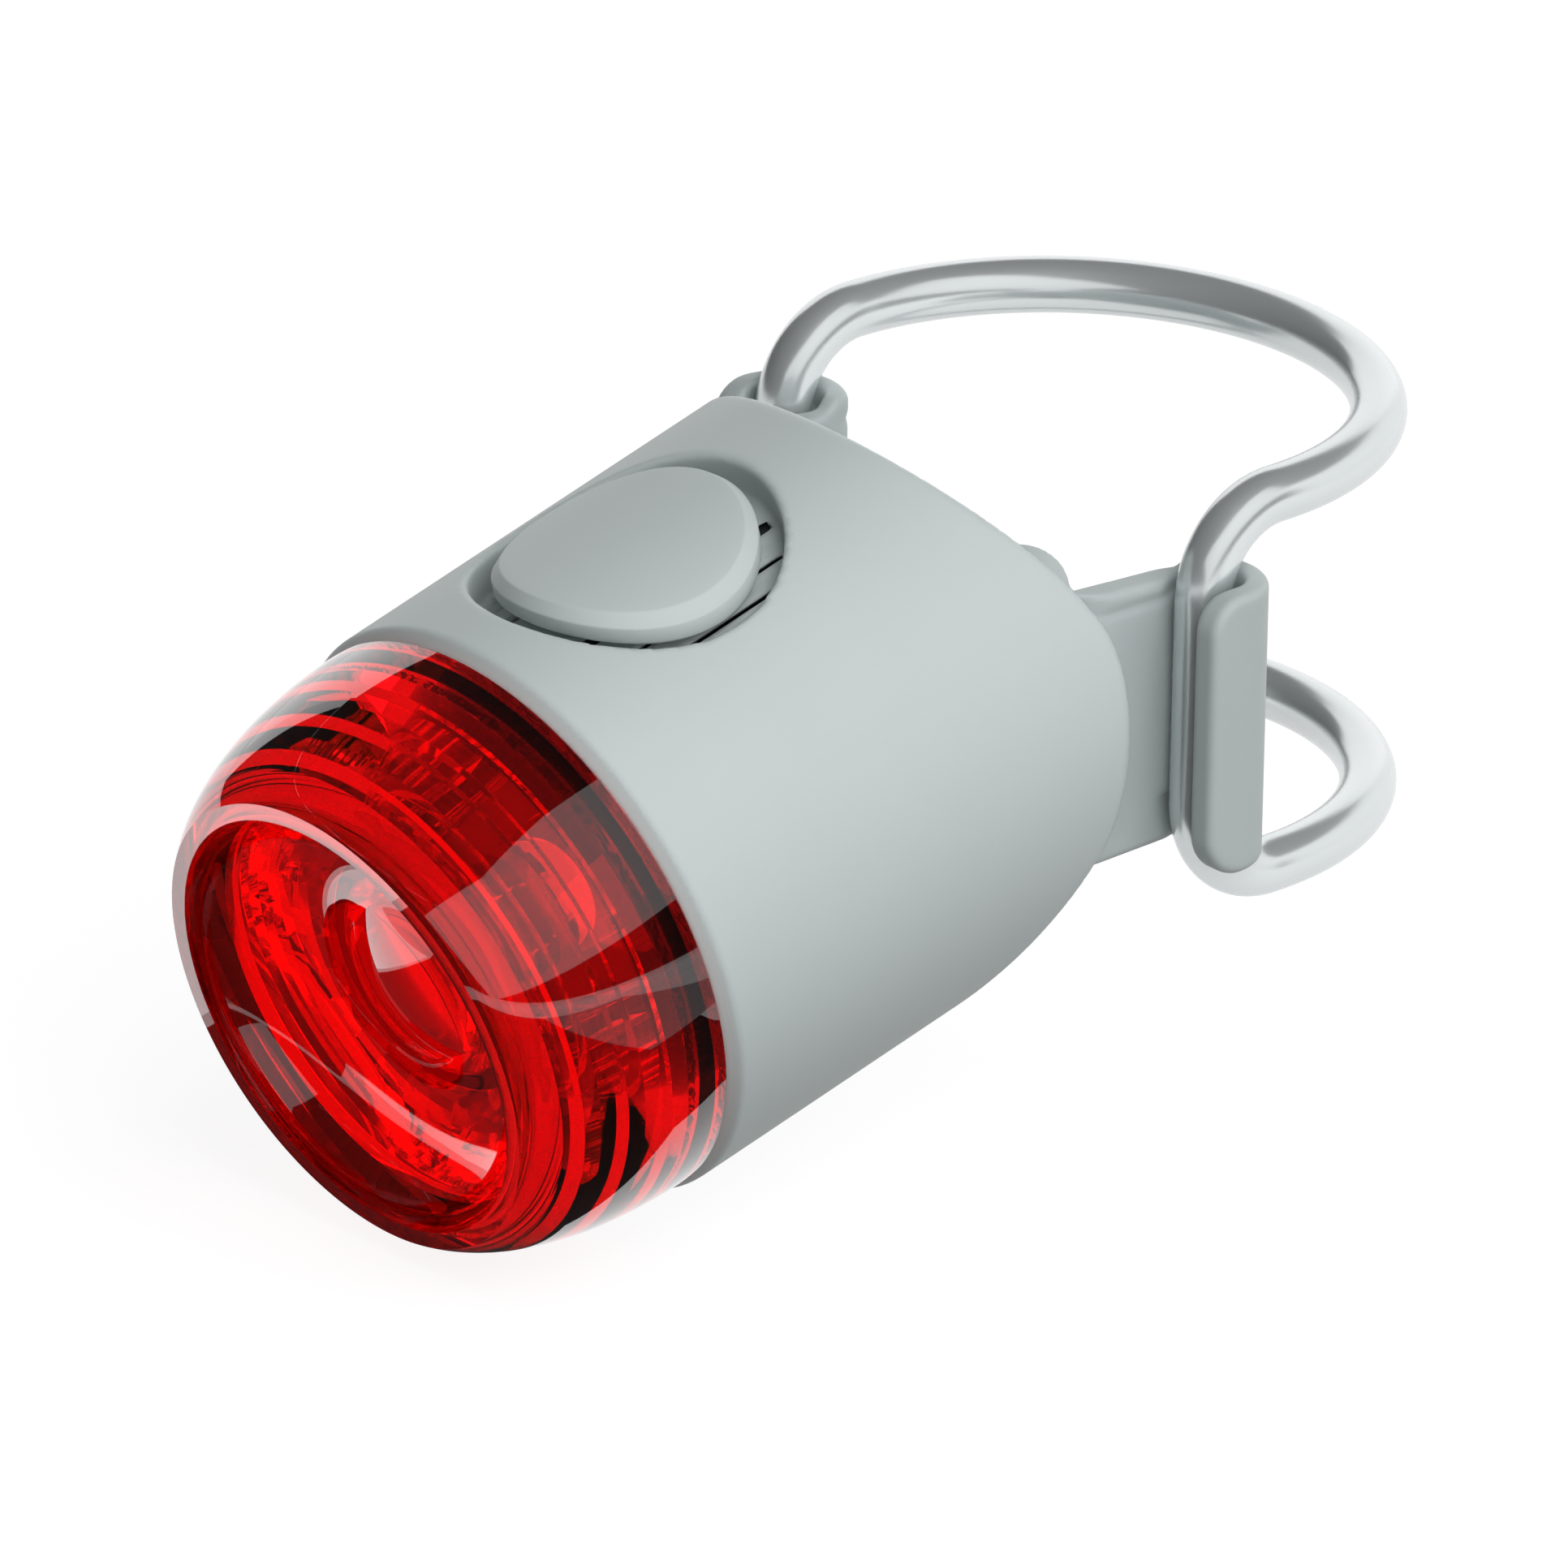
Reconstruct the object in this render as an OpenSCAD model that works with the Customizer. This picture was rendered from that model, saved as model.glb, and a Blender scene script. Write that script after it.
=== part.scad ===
// Small rechargeable bicycle rear light with a silicone body, a strap and a wire clip.
// Millimetres. The origin lies on the seat post's axis, level with the middle of the strap.
// +Z runs along the post, -Y points the way the lens faces and +X is the near side.

/* [Seat post and strap] */
// Diameter of the post that the relaxed strap hugs
post_d = 25.4; // [24:0.1:27.2]
// Thickness of the strap's wings
strap_t = 1.65; // [1.5:0.05:2]
// Least thickness of the strap between the post and a wire leg
web_t = 1.3; // [1.1:0.05:1.6]
// Height of the wings along the post
wing_h = 13.4; // [12:0.1:14]
// Thickness of the saddle pad between the post and the body
pad_t = 3; // [2.5:0.1:4]
// Height of the saddle pad along the post
pad_h = 16; // [14.5:0.1:17]
// Angle that the saddle pad covers round the post
pad_arc = 100; // [80:1:106]
// Angle that the pad and the wings' roots cover together
root_arc = 126; // [120:1:130]
// How much lower the wings' roots are than the wings, at each end
root_step = 1; // [0.5:0.1:1.5]
// Radius of the saddle pad's corners
pad_corner_r = 3; // [1:0.1:5]

/* [Hooks] */
// Room between a hook and the wire leg that it holds
hook_gap = 0.1; // [0.08:0.01:0.2]
// Room between a hook and the wire's bends above and below it
bend_gap = 0.45; // [0.3:0.05:0.6]
// Height of the hooks along the post
hook_h = 14.1; // [13.6:0.1:15]
// Thickness of a hook's free lip, with the room that it leaves the wire's bends
lip_t = 1.6; // [1.4:0.05:1.8]
// How much further from the wire a lip's inner side stands than the rest of the hook
lip_ease = 0.25; // [0.2:0.01:0.35]
// How far the lip reaches in front of the wire leg's centre
lip_reach = 2.3; // [1.2:0.1:2.6]
// Radius of the lip's two free corners
lip_corner_r = 1.5; // [1:0.5:3]
// Place on the curl where the lip flexes, from straight outwards
lip_flex_angle = 25; // [18:1:28]
// Room round the round end on which the lip flexes
flex_gap = 0.1; // [0.08:0.01:0.15]

/* [Wire clip] */
// Diameter of the spring wire
wire_d = 2.7; // [2:0.05:3]
// How far the legs stand in front of the post's axis
leg_fwd = 4.33; // [4:0.01:5]
// Height of the upper arch's centreline
arch_top = 10.14; // [9.5:0.02:12]
// Depth of the lower arch's centreline
arch_low = 8.64; // [8:0.02:11]

/* [Body] */
// Outer diameter of the silicone body
body_d = 30; // [28:0.1:33]
// Angle between the body's axis and a line square to the post
body_tilt = 16; // [10:0.1:20]
// Height at which the body's axis meets the post's axis
axis_z = 2.4; // [0:0.1:4]
// Diameter of the hollow that receives the saddle pad
saddle_d = 34.6; // [33:0.1:40]
// Distance in front of the post's axis where the body's two rear horns end
horn_end = 8.1; // [7.6:0.1:9]
// Rounding radius of the front lip
front_round = 0.8; // [0.4:0.1:1.5]
// How far the front lip draws in at the lens
front_draw = 0.3; // [0.1:0.05:0.4]
// Thickness of the body's round wall
body_wall = 2.3; // [2.2:0.05:2.8]
// Least thickness of the body behind its bore
rear_wall = 2.5; // [1.5:0.1:4]

/* [Lens] */
// How far the lens stands out of the body
lens_len = 10.2; // [8:0.1:13]
// Width of the flat front ring
ring_w = 0.87; // [0.5:0.01:1.2]
// Diameter of the bowl's mouth, inside the front ring
bowl_d = 21.96; // [20:0.02:24]
// Depth of the bowl
bowl_depth = 4.3; // [3:0.1:5.5]
// Diameter of the bowl's flat floor
floor_d = 11; // [9:0.1:12]
// Thickness of the bowl's floor
lens_wall = 1.6; // [1:0.1:2]
// Radius about which the dome's outline is centred
dome_core_r = 9.5; // [8:0.1:10.5]
// Length of the skirt that plugs into the bore
skirt_len = 3; // [2:0.1:3.4]
// Wall of the skirt
skirt_wall = 1.1; // [0.8:0.1:1.4]
// Gap between the skirt and the bore, all round
skirt_gap = 0.2; // [0.1:0.01:0.3]
// Thickness of the gasket behind the skirt
gasket_t = 0.8; // [0.5:0.1:1.2]

/* [Button] */
// Distance of the button's centre behind the body's front edge
button_s = 11.3; // [10.7:0.1:11.8]
// Diameter of the button's recess
recess_d = 14.6; // [13.6:0.1:16]
// Depth of the recess under the body's surface
recess_depth = 1.8; // [1.6:0.05:1.9]
// Diameter of the button cap
cap_d = 12.7; // [11:0.1:13]
// How far the cap stands proud of the body's surface
cap_proud = 0.3; // [0:0.05:0.6]
// Width of the chamfer round the cap
cap_chamfer = 0.5; // [0.2:0.05:0.8]
// How far the button travels
button_travel = 0.6; // [0.3:0.05:0.7]
// Diameter of the stem under the cap
stem_d = 4.4; // [4:0.1:5]

/* [Inside] */
// Wall of the inner case
case_wall = 1.2; // [1:0.05:1.6]
// Gap between the case and the bore
case_gap = 0.15; // [0.05:0.01:0.3]
// Thickness of the circuit boards
board_t = 1; // [0.8:0.1:1.2]
// Length of the space between the two boards
board_space = 1.8; // [1.7:0.1:2]
// Height of the main board's upper face above the body's axis
main_board_z = 1.8; // [1.4:0.1:2]
// Width of the main board
main_board_w = 15; // [13:0.1:16]
// Length of the room behind the LED board, level with the main board
bay_l = 9.28; // [8.8:0.02:13]
// Room between the main board and the rear wall
board_room = 1.28; // [0.5:0.02:2]
// Room between the battery cell and the rear wall
cell_room = 1.15; // [0.5:0.05:2]
// Width of the battery cell
cell_w = 16; // [13:0.1:16.4]
// Height of the battery cell
cell_h = 7; // [5:0.1:7.2]
// Thickness of the foam between cell and main board
foam_t = 0.8; // [0.5:0.1:1]
// Number of small LEDs in the ring
led_count = 8; // [4:4:12]
// Number of teeth on the light guide
guide_teeth = 20; // [12:1:28]

/* [Charging port] */
// Width of the charging socket
socket_w = 8.94; // [8.6:0.02:9.2]
// Height of the charging socket
socket_h = 3.2; // [3:0.02:3.4]
// Depth of the charging socket
socket_l = 6.8; // [6.5:0.1:7.4]
// Length of the cover over the port
cover_w = 13.4; // [12.6:0.1:14]
// Height of the cover over the port
cover_h = 7.2; // [6.6:0.1:7.6]
// Thickness of the cover
cover_t = 1.5; // [1.3:0.05:1.6]
// Gap round the cover
cover_gap = 0.25; // [0.15:0.01:0.4]

/* [Hidden] */
$fn = 96;
eps = 0.01;
far = 60;

// Round fits that share one radius
post_r = post_d / 2;
wire_r = wire_d / 2;
body_r = body_d / 2;
bore_r = body_r - body_wall;

// Wire legs: they stand against the strap's outer side
leg_ring_r = post_r + web_t + hook_gap + wire_r;
leg_x = sqrt(leg_ring_r * leg_ring_r - leg_fwd * leg_fwd);

// Hooks: the curl thins evenly from the wing's thickness to the lip's
hook_ri = wire_r + hook_gap;
curl_r = hook_ri + (strap_t + lip_t) / 2;
curl_shift = (strap_t - lip_t) / 2;
wing_x = leg_x - hook_ri;
flex_ro = sqrt(curl_r * curl_r - pow(curl_shift * sin(lip_flex_angle), 2)) - curl_shift * cos(lip_flex_angle);
lip_ri = hook_ri + lip_ease;
lip_body = lip_t - lip_ease;
flex_at = (lip_ri + flex_ro) / 2;
flex_r = (flex_ro - lip_ri) / 2;

// Saddle
saddle_r = saddle_d / 2;
saddle_y = saddle_r - post_r - pad_t;
glue_gap = 0.05;

// Lens
lens_r = body_r - front_draw;
bowl_r = bowl_d / 2;
ring_r = bowl_r + ring_w;
floor_r = floor_d / 2;
skirt_ro = bore_r - skirt_gap;
skirt_ri = skirt_ro - skirt_wall;
floor_front = bowl_depth - lens_len;
floor_back = floor_front + lens_wall;
cavity_angle = 28.5;
bowl_back_r = (skirt_ri - floor_r) / cos(cavity_angle);
bowl_back_h = bowl_depth + lens_wall;
dome_end = acos((ring_r - dome_core_r) / (lens_r - dome_core_r));
dome_len = lens_len / sin(dome_end);

// Inner case and the stack behind the lens
case_r = bore_r - case_gap;
case_ri = case_r - case_wall;
case_front = skirt_len + gasket_t;
case_rear_y = post_r + pad_t + rear_wall + case_gap;
ledge_w = 1.75;
led_board_back = case_front + board_t;
led_board_r = min(case_ri, skirt_ri) - 0.2;
main_front = led_board_back + board_space;
main_bottom = main_board_z - board_t;
main_board_l = bay_l - board_room;
bay_rear_y = case_rear_y + case_wall;
body_reach = main_front + bay_l + (bay_rear_y - main_board_z * sin(body_tilt)) / cos(body_tilt);
ledge_t = 0.9;

// Light guide and centre optic
guide_ro = skirt_ri - 0.2;
guide_ri = 6.4;
guide_back = case_front - 0.9;
guide_wall = 0.8;
guide_gap = 0.5;
optic_gap = 0.1;
optic_r = floor_r - 0.2;
optic_foot_r = 3.6;
optic_hole_r = 2.6;

// Small LEDs
led_w = 1.6;
led_t = 0.7;
led_ring_r = 8.4;
main_led_w = 3;
main_led_t = 0.9;

// Screws that hold the LED board
screw_z = case_ri - ledge_w - 0.2;
screw_r = 0.7;
screw_head_r = 1.4;
screw_head_t = 0.7;
screw_len = 3.6;
boss_r = 1.9;
boss_l = 3.4;
pilot_gap = 0.05;

// Switch under the button
switch_w = 6;
switch_h = 3.5;
plunger_r = 1.7;
plunger_fit = 0.05;
plunger_grip = 1.2;
plunger_out = 4.2;
plunger_top = main_board_z + switch_h + plunger_out;
stem_gap = 0.05;
stem_r = stem_d / 2;
stem_room = 0.3;
cap_r = cap_d / 2;
cap_top_r = body_r + cap_proud;
recess_floor_r = body_r - recess_depth;
cap_floor_gap = button_travel + 0.15;

// Battery cell under the main board
cell_top = main_bottom - foam_t;
cell_bottom = cell_top - cell_h;
cell_l = bay_l - cell_room - (main_board_z - cell_bottom) * tan(body_tilt);
lead_r = 0.35;
lead_end_z = main_bottom + board_t / 2;
lead_start_z = cell_top - 0.8;
rib_t = 1;
rail_w = 0.8;
foam_gap = 0.2;
foam_w = main_board_w - 2 * rail_w - 2 * foam_gap;

// Small parts on the boards
pin_r = 0.25;
pin_x = 4.8;
pin_step = 1.2;
chip_x = 5.2;
chip_w = 3;
chip_t = 0.9;
chip_gap = 0.6;
coil_l = 2.6;
coil_w = 2;

// Charging port on the far side
port_z = main_board_z + socket_h / 2;
port_s = button_s;
socket_x = sqrt(bore_r * bore_r - pow(port_z + socket_h / 2, 2));
tunnel_w = socket_w + 1.2;
tunnel_h = socket_h + 1.4;
tunnel_play = 0.4;
plug_l = 0.7;
seat_gap = 0.1;
roll_r = cover_t / 2 - 0.05;
roll_z = port_z - cover_h / 2 + cover_gap + roll_r;
roll_x = sqrt(pow(body_r - cover_t / 2, 2) - roll_z * roll_z);
socket_wall = 0.3;
socket_room = 0.2;

// Points along an elliptic arc
function arc(centre, rx, ry, from, to, steps) = [
    for (i = [0:steps])
        let (a = from + (to - from) * i / steps)
            [centre[0] + rx * cos(a), centre[1] + ry * sin(a)]
];

// Places children in the body's frame: Y runs back along its axis and Z rises to the button
module on_body() {
    translate([0, 0, axis_z])
        rotate([body_tilt, 0, 0])
            children();
}

// Moves children to a distance behind the body's front edge
module behind_front(s) {
    translate([0, s - body_reach, 0])
        children();
}

// Turns a profile of radius and distance behind the front edge about the body's axis
module turned() {
    behind_front(0)
        rotate([-90, 0, 0])
            rotate_extrude()
                children();
}

// A round bar along the body's axis
module axis_bar(r, from, to) {
    behind_front(from)
        rotate([-90, 0, 0])
            cylinder(r = r, h = to - from);
}

// A box by its width, its span behind the front edge and its span in height
module span_box(w, s, z) {
    translate([-w / 2, s[0] - body_reach, z[0]])
        cube([w, s[1] - s[0], z[1] - z[0]]);
}

// Everything ahead of a plane that stands parallel to the post
module ahead_of(y) {
    rotate([-body_tilt, 0, 0])
        translate([-far, -2 * far - y, -far])
            cube([2 * far, 2 * far, 2 * far]);
}

// A square with round corners, centred
module round_rect(w, h, r) {
    square([w - 2 * r, h], center = true);
    square([w, h - 2 * r], center = true);
    for (x = [-1, 1], y = [-1, 1])
        translate([x * (w / 2 - r), y * (h / 2 - r)])
            circle(r = r);
}

// Upright bar through the button's centre
module button_bar(r, from, to) {
    behind_front(button_s)
        translate([0, 0, from])
            cylinder(r = r, h = to - from);
}

// Outer form of the body before it is hollowed
module body_form() {
    lip_angle = acos(1 - front_draw / front_round);
    lip_len = front_round * sin(lip_angle);
    turned()
        polygon(concat(
            [[0, 0]],
            arc([body_r - front_round, lip_len], front_round, front_round, -lip_angle, 0, 6),
            [[body_r, body_reach], [0, body_reach]]
        ));
}

// Far-side tunnel to the charging socket, and the seat of its cover
module port_cut() {
    behind_front(port_s)
        translate([-far / 2, 0, port_z])
            cube([far - 2 * socket_x + 2 * eps, tunnel_w, tunnel_h], center = true);
    difference() {
        cover_block(0);
        axis_bar(body_r - cover_t - seat_gap, 0, body_reach);
    }
    cover_roll(roll_r + cover_gap, 0);
}

// Block of the cover's outline above its roll, drawn in by a gap
module cover_block(gap) {
    w = cover_w - 2 * gap;
    behind_front(port_s)
        translate([-far, -w / 2, roll_z])
            cube([far, w, port_z + cover_h / 2 - gap - roll_z]);
}

// Roll along the cover's lower edge, on which it turns, or the roll's seat
module cover_roll(r, gap) {
    w = cover_w - 2 * gap;
    behind_front(port_s)
        translate([-roll_x, w / 2, roll_z])
            rotate([90, 0, 0])
                cylinder(r = r, h = w);
}

module silicone_sleeve() {
    color("#b9c3c2")
        difference() {
            on_body()
                difference() {
                    body_form();
                    intersection() {
                        axis_bar(bore_r, -1, body_reach);
                        ahead_of(post_r + pad_t + rear_wall);
                    }
                    difference() {
                        button_bar(recess_d / 2, 0, far);
                        axis_bar(recess_floor_r, 0, body_reach);
                    }
                    button_bar(stem_r + stem_room, 0, far);
                    port_cut();
                }
            translate([0, saddle_y, -far])
                cylinder(r = saddle_r, h = 2 * far);
            translate([-far, -horn_end, -far])
                cube([2 * far, 2 * far, 2 * far]);
        }
}

// The cap's top follows the body, with a chamfer all round its rim
module button_cap() {
    steps = 48;
    rim = cap_r - cap_chamfer;
    low_r = recess_floor_r + cap_floor_gap;
    rings = [
        [cap_r / 3, low_r], [cap_r * 2 / 3, low_r], [cap_r, low_r],
        [cap_r, cap_top_r - cap_chamfer], [rim, cap_top_r],
        [rim * 2 / 3, cap_top_r], [rim / 3, cap_top_r]
    ];
    points = concat(
        [for (ring = rings, i = [0:steps - 1])
            let (x = ring[0] * cos(360 * i / steps))
                [x, ring[0] * sin(360 * i / steps), sqrt(ring[1] * ring[1] - x * x)]],
        [[0, 0, cap_top_r], [0, 0, low_r]]
    );
    top = len(points) - 2;
    bottom = len(points) - 1;
    last = (len(rings) - 1) * steps;
    sides = [
        for (k = [0:len(rings) - 2], i = [0:steps - 1])
            let (j = (i + 1) % steps, a = k * steps)
                each [[a + i, a + steps + i, a + j], [a + j, a + steps + i, a + steps + j]]
    ];
    lids = [
        for (i = [0:steps - 1])
            let (j = (i + 1) % steps)
                each [[last + i, top, last + j], [bottom, i, j]]
    ];
    color("#b4bfbe")
        on_body()
            union() {
                behind_front(button_s)
                    polyhedron(points = points, faces = concat(sides, lids));
                button_bar(stem_r, plunger_top + stem_gap, low_r + cap_chamfer);
            }
}

// Red moulded lens: domed outside, with a bowl in its front and a skirt behind
module lens() {
    color("#d40000", 0.75)
        on_body()
            turned()
                polygon(concat(
                    [[skirt_ri, skirt_len], [skirt_ro, skirt_len], [skirt_ro, 0]],
                    arc([dome_core_r, 0], lens_r - dome_core_r, -dome_len, 0, dome_end, 24),
                    arc([floor_r, -lens_len], bowl_r - floor_r, bowl_depth, 0, 90, 20),
                    [[0, floor_front], [0, floor_back]],
                    arc([floor_r, -lens_len], bowl_back_r, bowl_back_h, 90, cavity_angle, 12)
                ));
}

module lens_gasket() {
    color("#3a3d3d")
        on_body()
            difference() {
                axis_bar(skirt_ro, skirt_len, case_front);
                axis_bar(skirt_ri, skirt_len - 1, case_front + 1);
            }
}

// Toothed ring that spreads the small LEDs' light into the dome
module light_guide() {
    front_out = acos((guide_ro - floor_r) / bowl_back_r);
    front_in = acos((guide_ri - floor_r) / bowl_back_r);
    tooth = 360 / guide_teeth;
    slot_w = PI * guide_ro / guide_teeth;
    slot_l = 3.6;
    color("#ff2a1a", 0.8)
        on_body()
            difference() {
                turned()
                    polygon(concat(
                        [[guide_ri, guide_back], [guide_ro, guide_back]],
                        arc([floor_r, guide_gap - lens_len], bowl_back_r, bowl_back_h, front_out, front_in, 10)
                    ));
                behind_front(guide_back - slot_l)
                    for (i = [0:guide_teeth - 1])
                        rotate([0, i * tooth, 0])
                            translate([guide_ro - 2 * guide_wall, 0, -slot_w / 2])
                                cube([far, far, slot_w]);
            }
}

// Collimator that throws the main LED's light through the bowl's floor
module centre_optic() {
    color("#ff5a4a", 0.8)
        on_body()
            turned()
                polygon([
                    [0, floor_back + optic_gap], [optic_r, floor_back + optic_gap],
                    [optic_r, floor_back + optic_gap + 1], [optic_foot_r, case_front - 2],
                    [optic_foot_r, case_front], [optic_hole_r, case_front],
                    [optic_hole_r, case_front - main_led_t - 0.5], [0, case_front - main_led_t - 0.5]
                ]);
}

module led_board() {
    color("#f2f2ee")
        on_body()
            difference() {
                axis_bar(led_board_r, case_front, led_board_back);
                for (side = [-1, 1])
                    translate([0, 0, side * screw_z])
                        axis_bar(screw_r + pilot_gap, case_front - 1, led_board_back + 1);
            }
}

module leds() {
    color("#ffd7a0")
        on_body() {
            span_box(main_led_w, [case_front - main_led_t, case_front], [-main_led_w / 2, main_led_w / 2]);
            for (i = [0:led_count - 1])
                rotate([0, (i + 0.5) * 360 / led_count, 0])
                    translate([led_ring_r, 0, 0])
                        span_box(led_w, [case_front - led_t, case_front], [-led_w / 2, led_w / 2]);
        }
}

module led_board_screws() {
    color("#c8c8c8")
        on_body()
            for (side = [-1, 1])
                translate([0, 0, side * screw_z]) {
                    axis_bar(screw_head_r, case_front - screw_head_t, case_front);
                    axis_bar(screw_r, case_front - screw_head_t, case_front + screw_len);
                }
}

// Cup that holds the electronics: open in front, with a rear wall parallel to the post
module inner_case() {
    color("#2c2f31")
        on_body()
            difference() {
                union() {
                    difference() {
                        intersection() {
                            axis_bar(case_r, case_front, body_reach);
                            ahead_of(case_rear_y);
                        }
                        intersection() {
                            axis_bar(case_ri, case_front - 1, body_reach);
                            ahead_of(bay_rear_y);
                        }
                    }
                    difference() {
                        axis_bar(case_ri + eps, led_board_back, led_board_back + ledge_t);
                        axis_bar(case_ri - ledge_w, led_board_back - 1, led_board_back + ledge_t + 1);
                    }
                    intersection() {
                        axis_bar(case_ri + eps, led_board_back, led_board_back + boss_l);
                        for (side = [-1, 1])
                            translate([0, 0, side * screw_z])
                                axis_bar(boss_r, led_board_back, led_board_back + boss_l);
                    }
                    intersection() {
                        axis_bar(case_ri + eps, main_front, main_front + main_board_l);
                        ahead_of(case_rear_y);
                        case_ribs();
                    }
                }
                for (side = [-1, 1])
                    translate([0, 0, side * screw_z])
                        axis_bar(screw_r + pilot_gap, led_board_back - 1, case_front + screw_len + 0.1);
                button_bar(stem_r + stem_room, 0, far);
                behind_front(port_s)
                    translate([-far / 2, 0, port_z])
                        cube([far, socket_w + 2 * socket_room, socket_h + 2 * socket_room], center = true);
            }
}

// Rails under the main board's edges and ribs under the cell
module case_ribs() {
    for (side = [-1, 1]) {
        translate([side * (main_board_w / 2 + far / 2 - rail_w), 0, 0])
            span_box(far, [main_front, main_front + main_board_l], [main_bottom - 0.7, main_bottom]);
        translate([side * cell_w / 4, 0, 0])
            span_box(rib_t, [main_front, main_front + cell_l], [-far, cell_bottom]);
    }
}

module main_board() {
    color("#1f6b3a")
        on_body()
            span_box(main_board_w, [main_front, main_front + main_board_l], [main_bottom, main_board_z]);
}

// Pins that join the two boards
module board_pins() {
    color("#d9b54a")
        on_body()
            for (side = [-1, 1], place = [-0.5, 0.5])
                translate([side * pin_x + place * pin_step, 0, main_bottom + board_t / 2])
                    axis_bar(pin_r, led_board_back, main_front);
}

// Charger chip and a coil beside the switch
module board_chips() {
    chip_s = main_front + chip_gap;
    coil_s = chip_s + chip_w + 1.6 * chip_gap;
    color("#222222")
        on_body()
            translate([chip_x, 0, 0]) {
                span_box(chip_w, [chip_s, chip_s + chip_w], [main_board_z, main_board_z + chip_t]);
                span_box(coil_w, [coil_s, coil_s + coil_l], [main_board_z, main_board_z + chip_t]);
            }
}

module tact_switch() {
    half = switch_w / 2;
    color("#101010")
        on_body()
            difference() {
                span_box(
                    switch_w, [button_s - half, button_s + half], [main_board_z, main_board_z + switch_h]
                );
                button_bar(
                    plunger_r + plunger_fit,
                    main_board_z + switch_h - plunger_grip - button_travel - 0.2,
                    far
                );
            }
}

module switch_plunger() {
    color("#e6e6e6")
        on_body()
            button_bar(plunger_r, main_board_z + switch_h - plunger_grip, plunger_top);
}

// Stamped steel shell of the charging socket, with its mouth on the far side
module usb_socket() {
    color("#c9ccd0")
        on_body()
            behind_front(port_s)
                translate([-socket_x, 0, port_z])
                    rotate([90, 0, 90])
                        difference() {
                            linear_extrude(socket_l)
                                round_rect(socket_w, socket_h, socket_h / 2 - 0.2);
                            translate([0, 0, -1])
                                linear_extrude(socket_l - socket_wall + 1)
                                    round_rect(
                                        socket_w - 2 * socket_wall,
                                        socket_h - 2 * socket_wall,
                                        socket_h / 2 - 0.2 - socket_wall
                                    );
                        }
}

// Contact tongue inside the socket
module usb_tongue() {
    tongue_w = socket_w - 2.2;
    tongue_t = 0.7;
    color("#1b1b1b")
        on_body()
            behind_front(port_s)
                translate([-socket_x + 0.8, -tongue_w / 2, port_z - tongue_t / 2])
                    cube([socket_l - 0.8 - socket_wall, tongue_w, tongue_t]);
}

// Silicone cover, hinged on the roll along its lower edge, with a plug for the tunnel.
// Its upper edge is round about the hinge, so that it swings out of its seat.
module port_cover() {
    plug_w = tunnel_w - 2 * tunnel_play;
    plug_h = tunnel_h - 2 * tunnel_play;
    cover_sweep = port_z + cover_h / 2 - cover_gap - roll_z;
    color("#aeb9b8")
        on_body()
            union() {
                difference() {
                    intersection() {
                        cover_block(cover_gap);
                        axis_bar(body_r, 0, body_reach);
                        cover_roll(cover_sweep, cover_gap);
                    }
                    axis_bar(body_r - cover_t, 0, body_reach);
                }
                cover_roll(roll_r, cover_gap);
                difference() {
                    intersection() {
                        behind_front(port_s)
                            translate([-far / 2, 0, port_z])
                                cube([far, plug_w, plug_h], center = true);
                        axis_bar(body_r - cover_t + eps, 0, body_reach);
                    }
                    axis_bar(body_r - cover_t - plug_l, 0, body_reach);
                }
            }
}

module battery_cell() {
    color("#9aa4ad")
        on_body()
            translate([0, main_front - body_reach, (cell_top + cell_bottom) / 2])
                rotate([-90, 0, 0])
                    linear_extrude(cell_l)
                        round_rect(cell_w, cell_h, 1.2);
}

module cell_foam() {
    color("#4a4a4a")
        on_body()
            span_box(foam_w, [main_front + 0.4, main_front + cell_l - 0.4], [cell_top, main_bottom]);
}

// Two short leads that loop from the cell's front to the main board's edge
module battery_leads() {
    bend = (lead_end_z - lead_start_z) / 2;
    color("#b01818")
        on_body()
            for (x = [-2, 2])
                translate([x, main_front - body_reach, (lead_end_z + lead_start_z) / 2])
                    rotate([90, 0, 90])
                        rotate([0, 0, 90])
                            rotate_extrude(angle = 180)
                                translate([bend, 0])
                                    circle(r = lead_r);
}

// Moves children to the near wire leg
module at_leg() {
    translate([leg_x, -leg_fwd, 0])
        children();
}

// Plan of the curl round a leg, from one angle to another, outside a radius
module curl_plan(from, to, inner_r) {
    reach = 4 * curl_r;
    intersection() {
        difference() {
            translate([-curl_shift, 0])
                circle(r = curl_r);
            circle(r = inner_r);
        }
        polygon(concat([[0, 0]], arc([0, 0], reach, reach, from, to, 6)));
    }
}

// Round end on which the lip flexes
module flex_plan(r) {
    translate([flex_at * cos(lip_flex_angle), flex_at * sin(lip_flex_angle)])
        circle(r = r);
}

// Plan of everything between the post and the body's saddle, over an angle
module saddle_plan(angle) {
    difference() {
        intersection() {
            translate([0, saddle_y])
                circle(r = saddle_r - glue_gap);
            polygon(concat([[0, 0]], arc([0, 0], far, far, -90 - angle / 2, angle / 2 - 90, 12)));
        }
        circle(r = post_r);
    }
}

// Plan of both wings: they run straight back from the body's saddle, beside the post
module wings_plan() {
    for (side = [0, 1])
        mirror([side, 0])
            intersection() {
                translate([wing_x - strap_t, -far - leg_fwd])
                    square([strap_t, far]);
                translate([0, saddle_y])
                    circle(r = saddle_r - glue_gap);
            }
}

// Fixed part of the near hook: the curl that passes behind the wire leg
module hook_curl() {
    overlap = 8;
    at_leg()
        linear_extrude(hook_h, center = true)
            difference() {
                curl_plan(lip_flex_angle, 180 + overlap, hook_ri);
                flex_plan(flex_r + flex_gap);
            }
}

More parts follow.
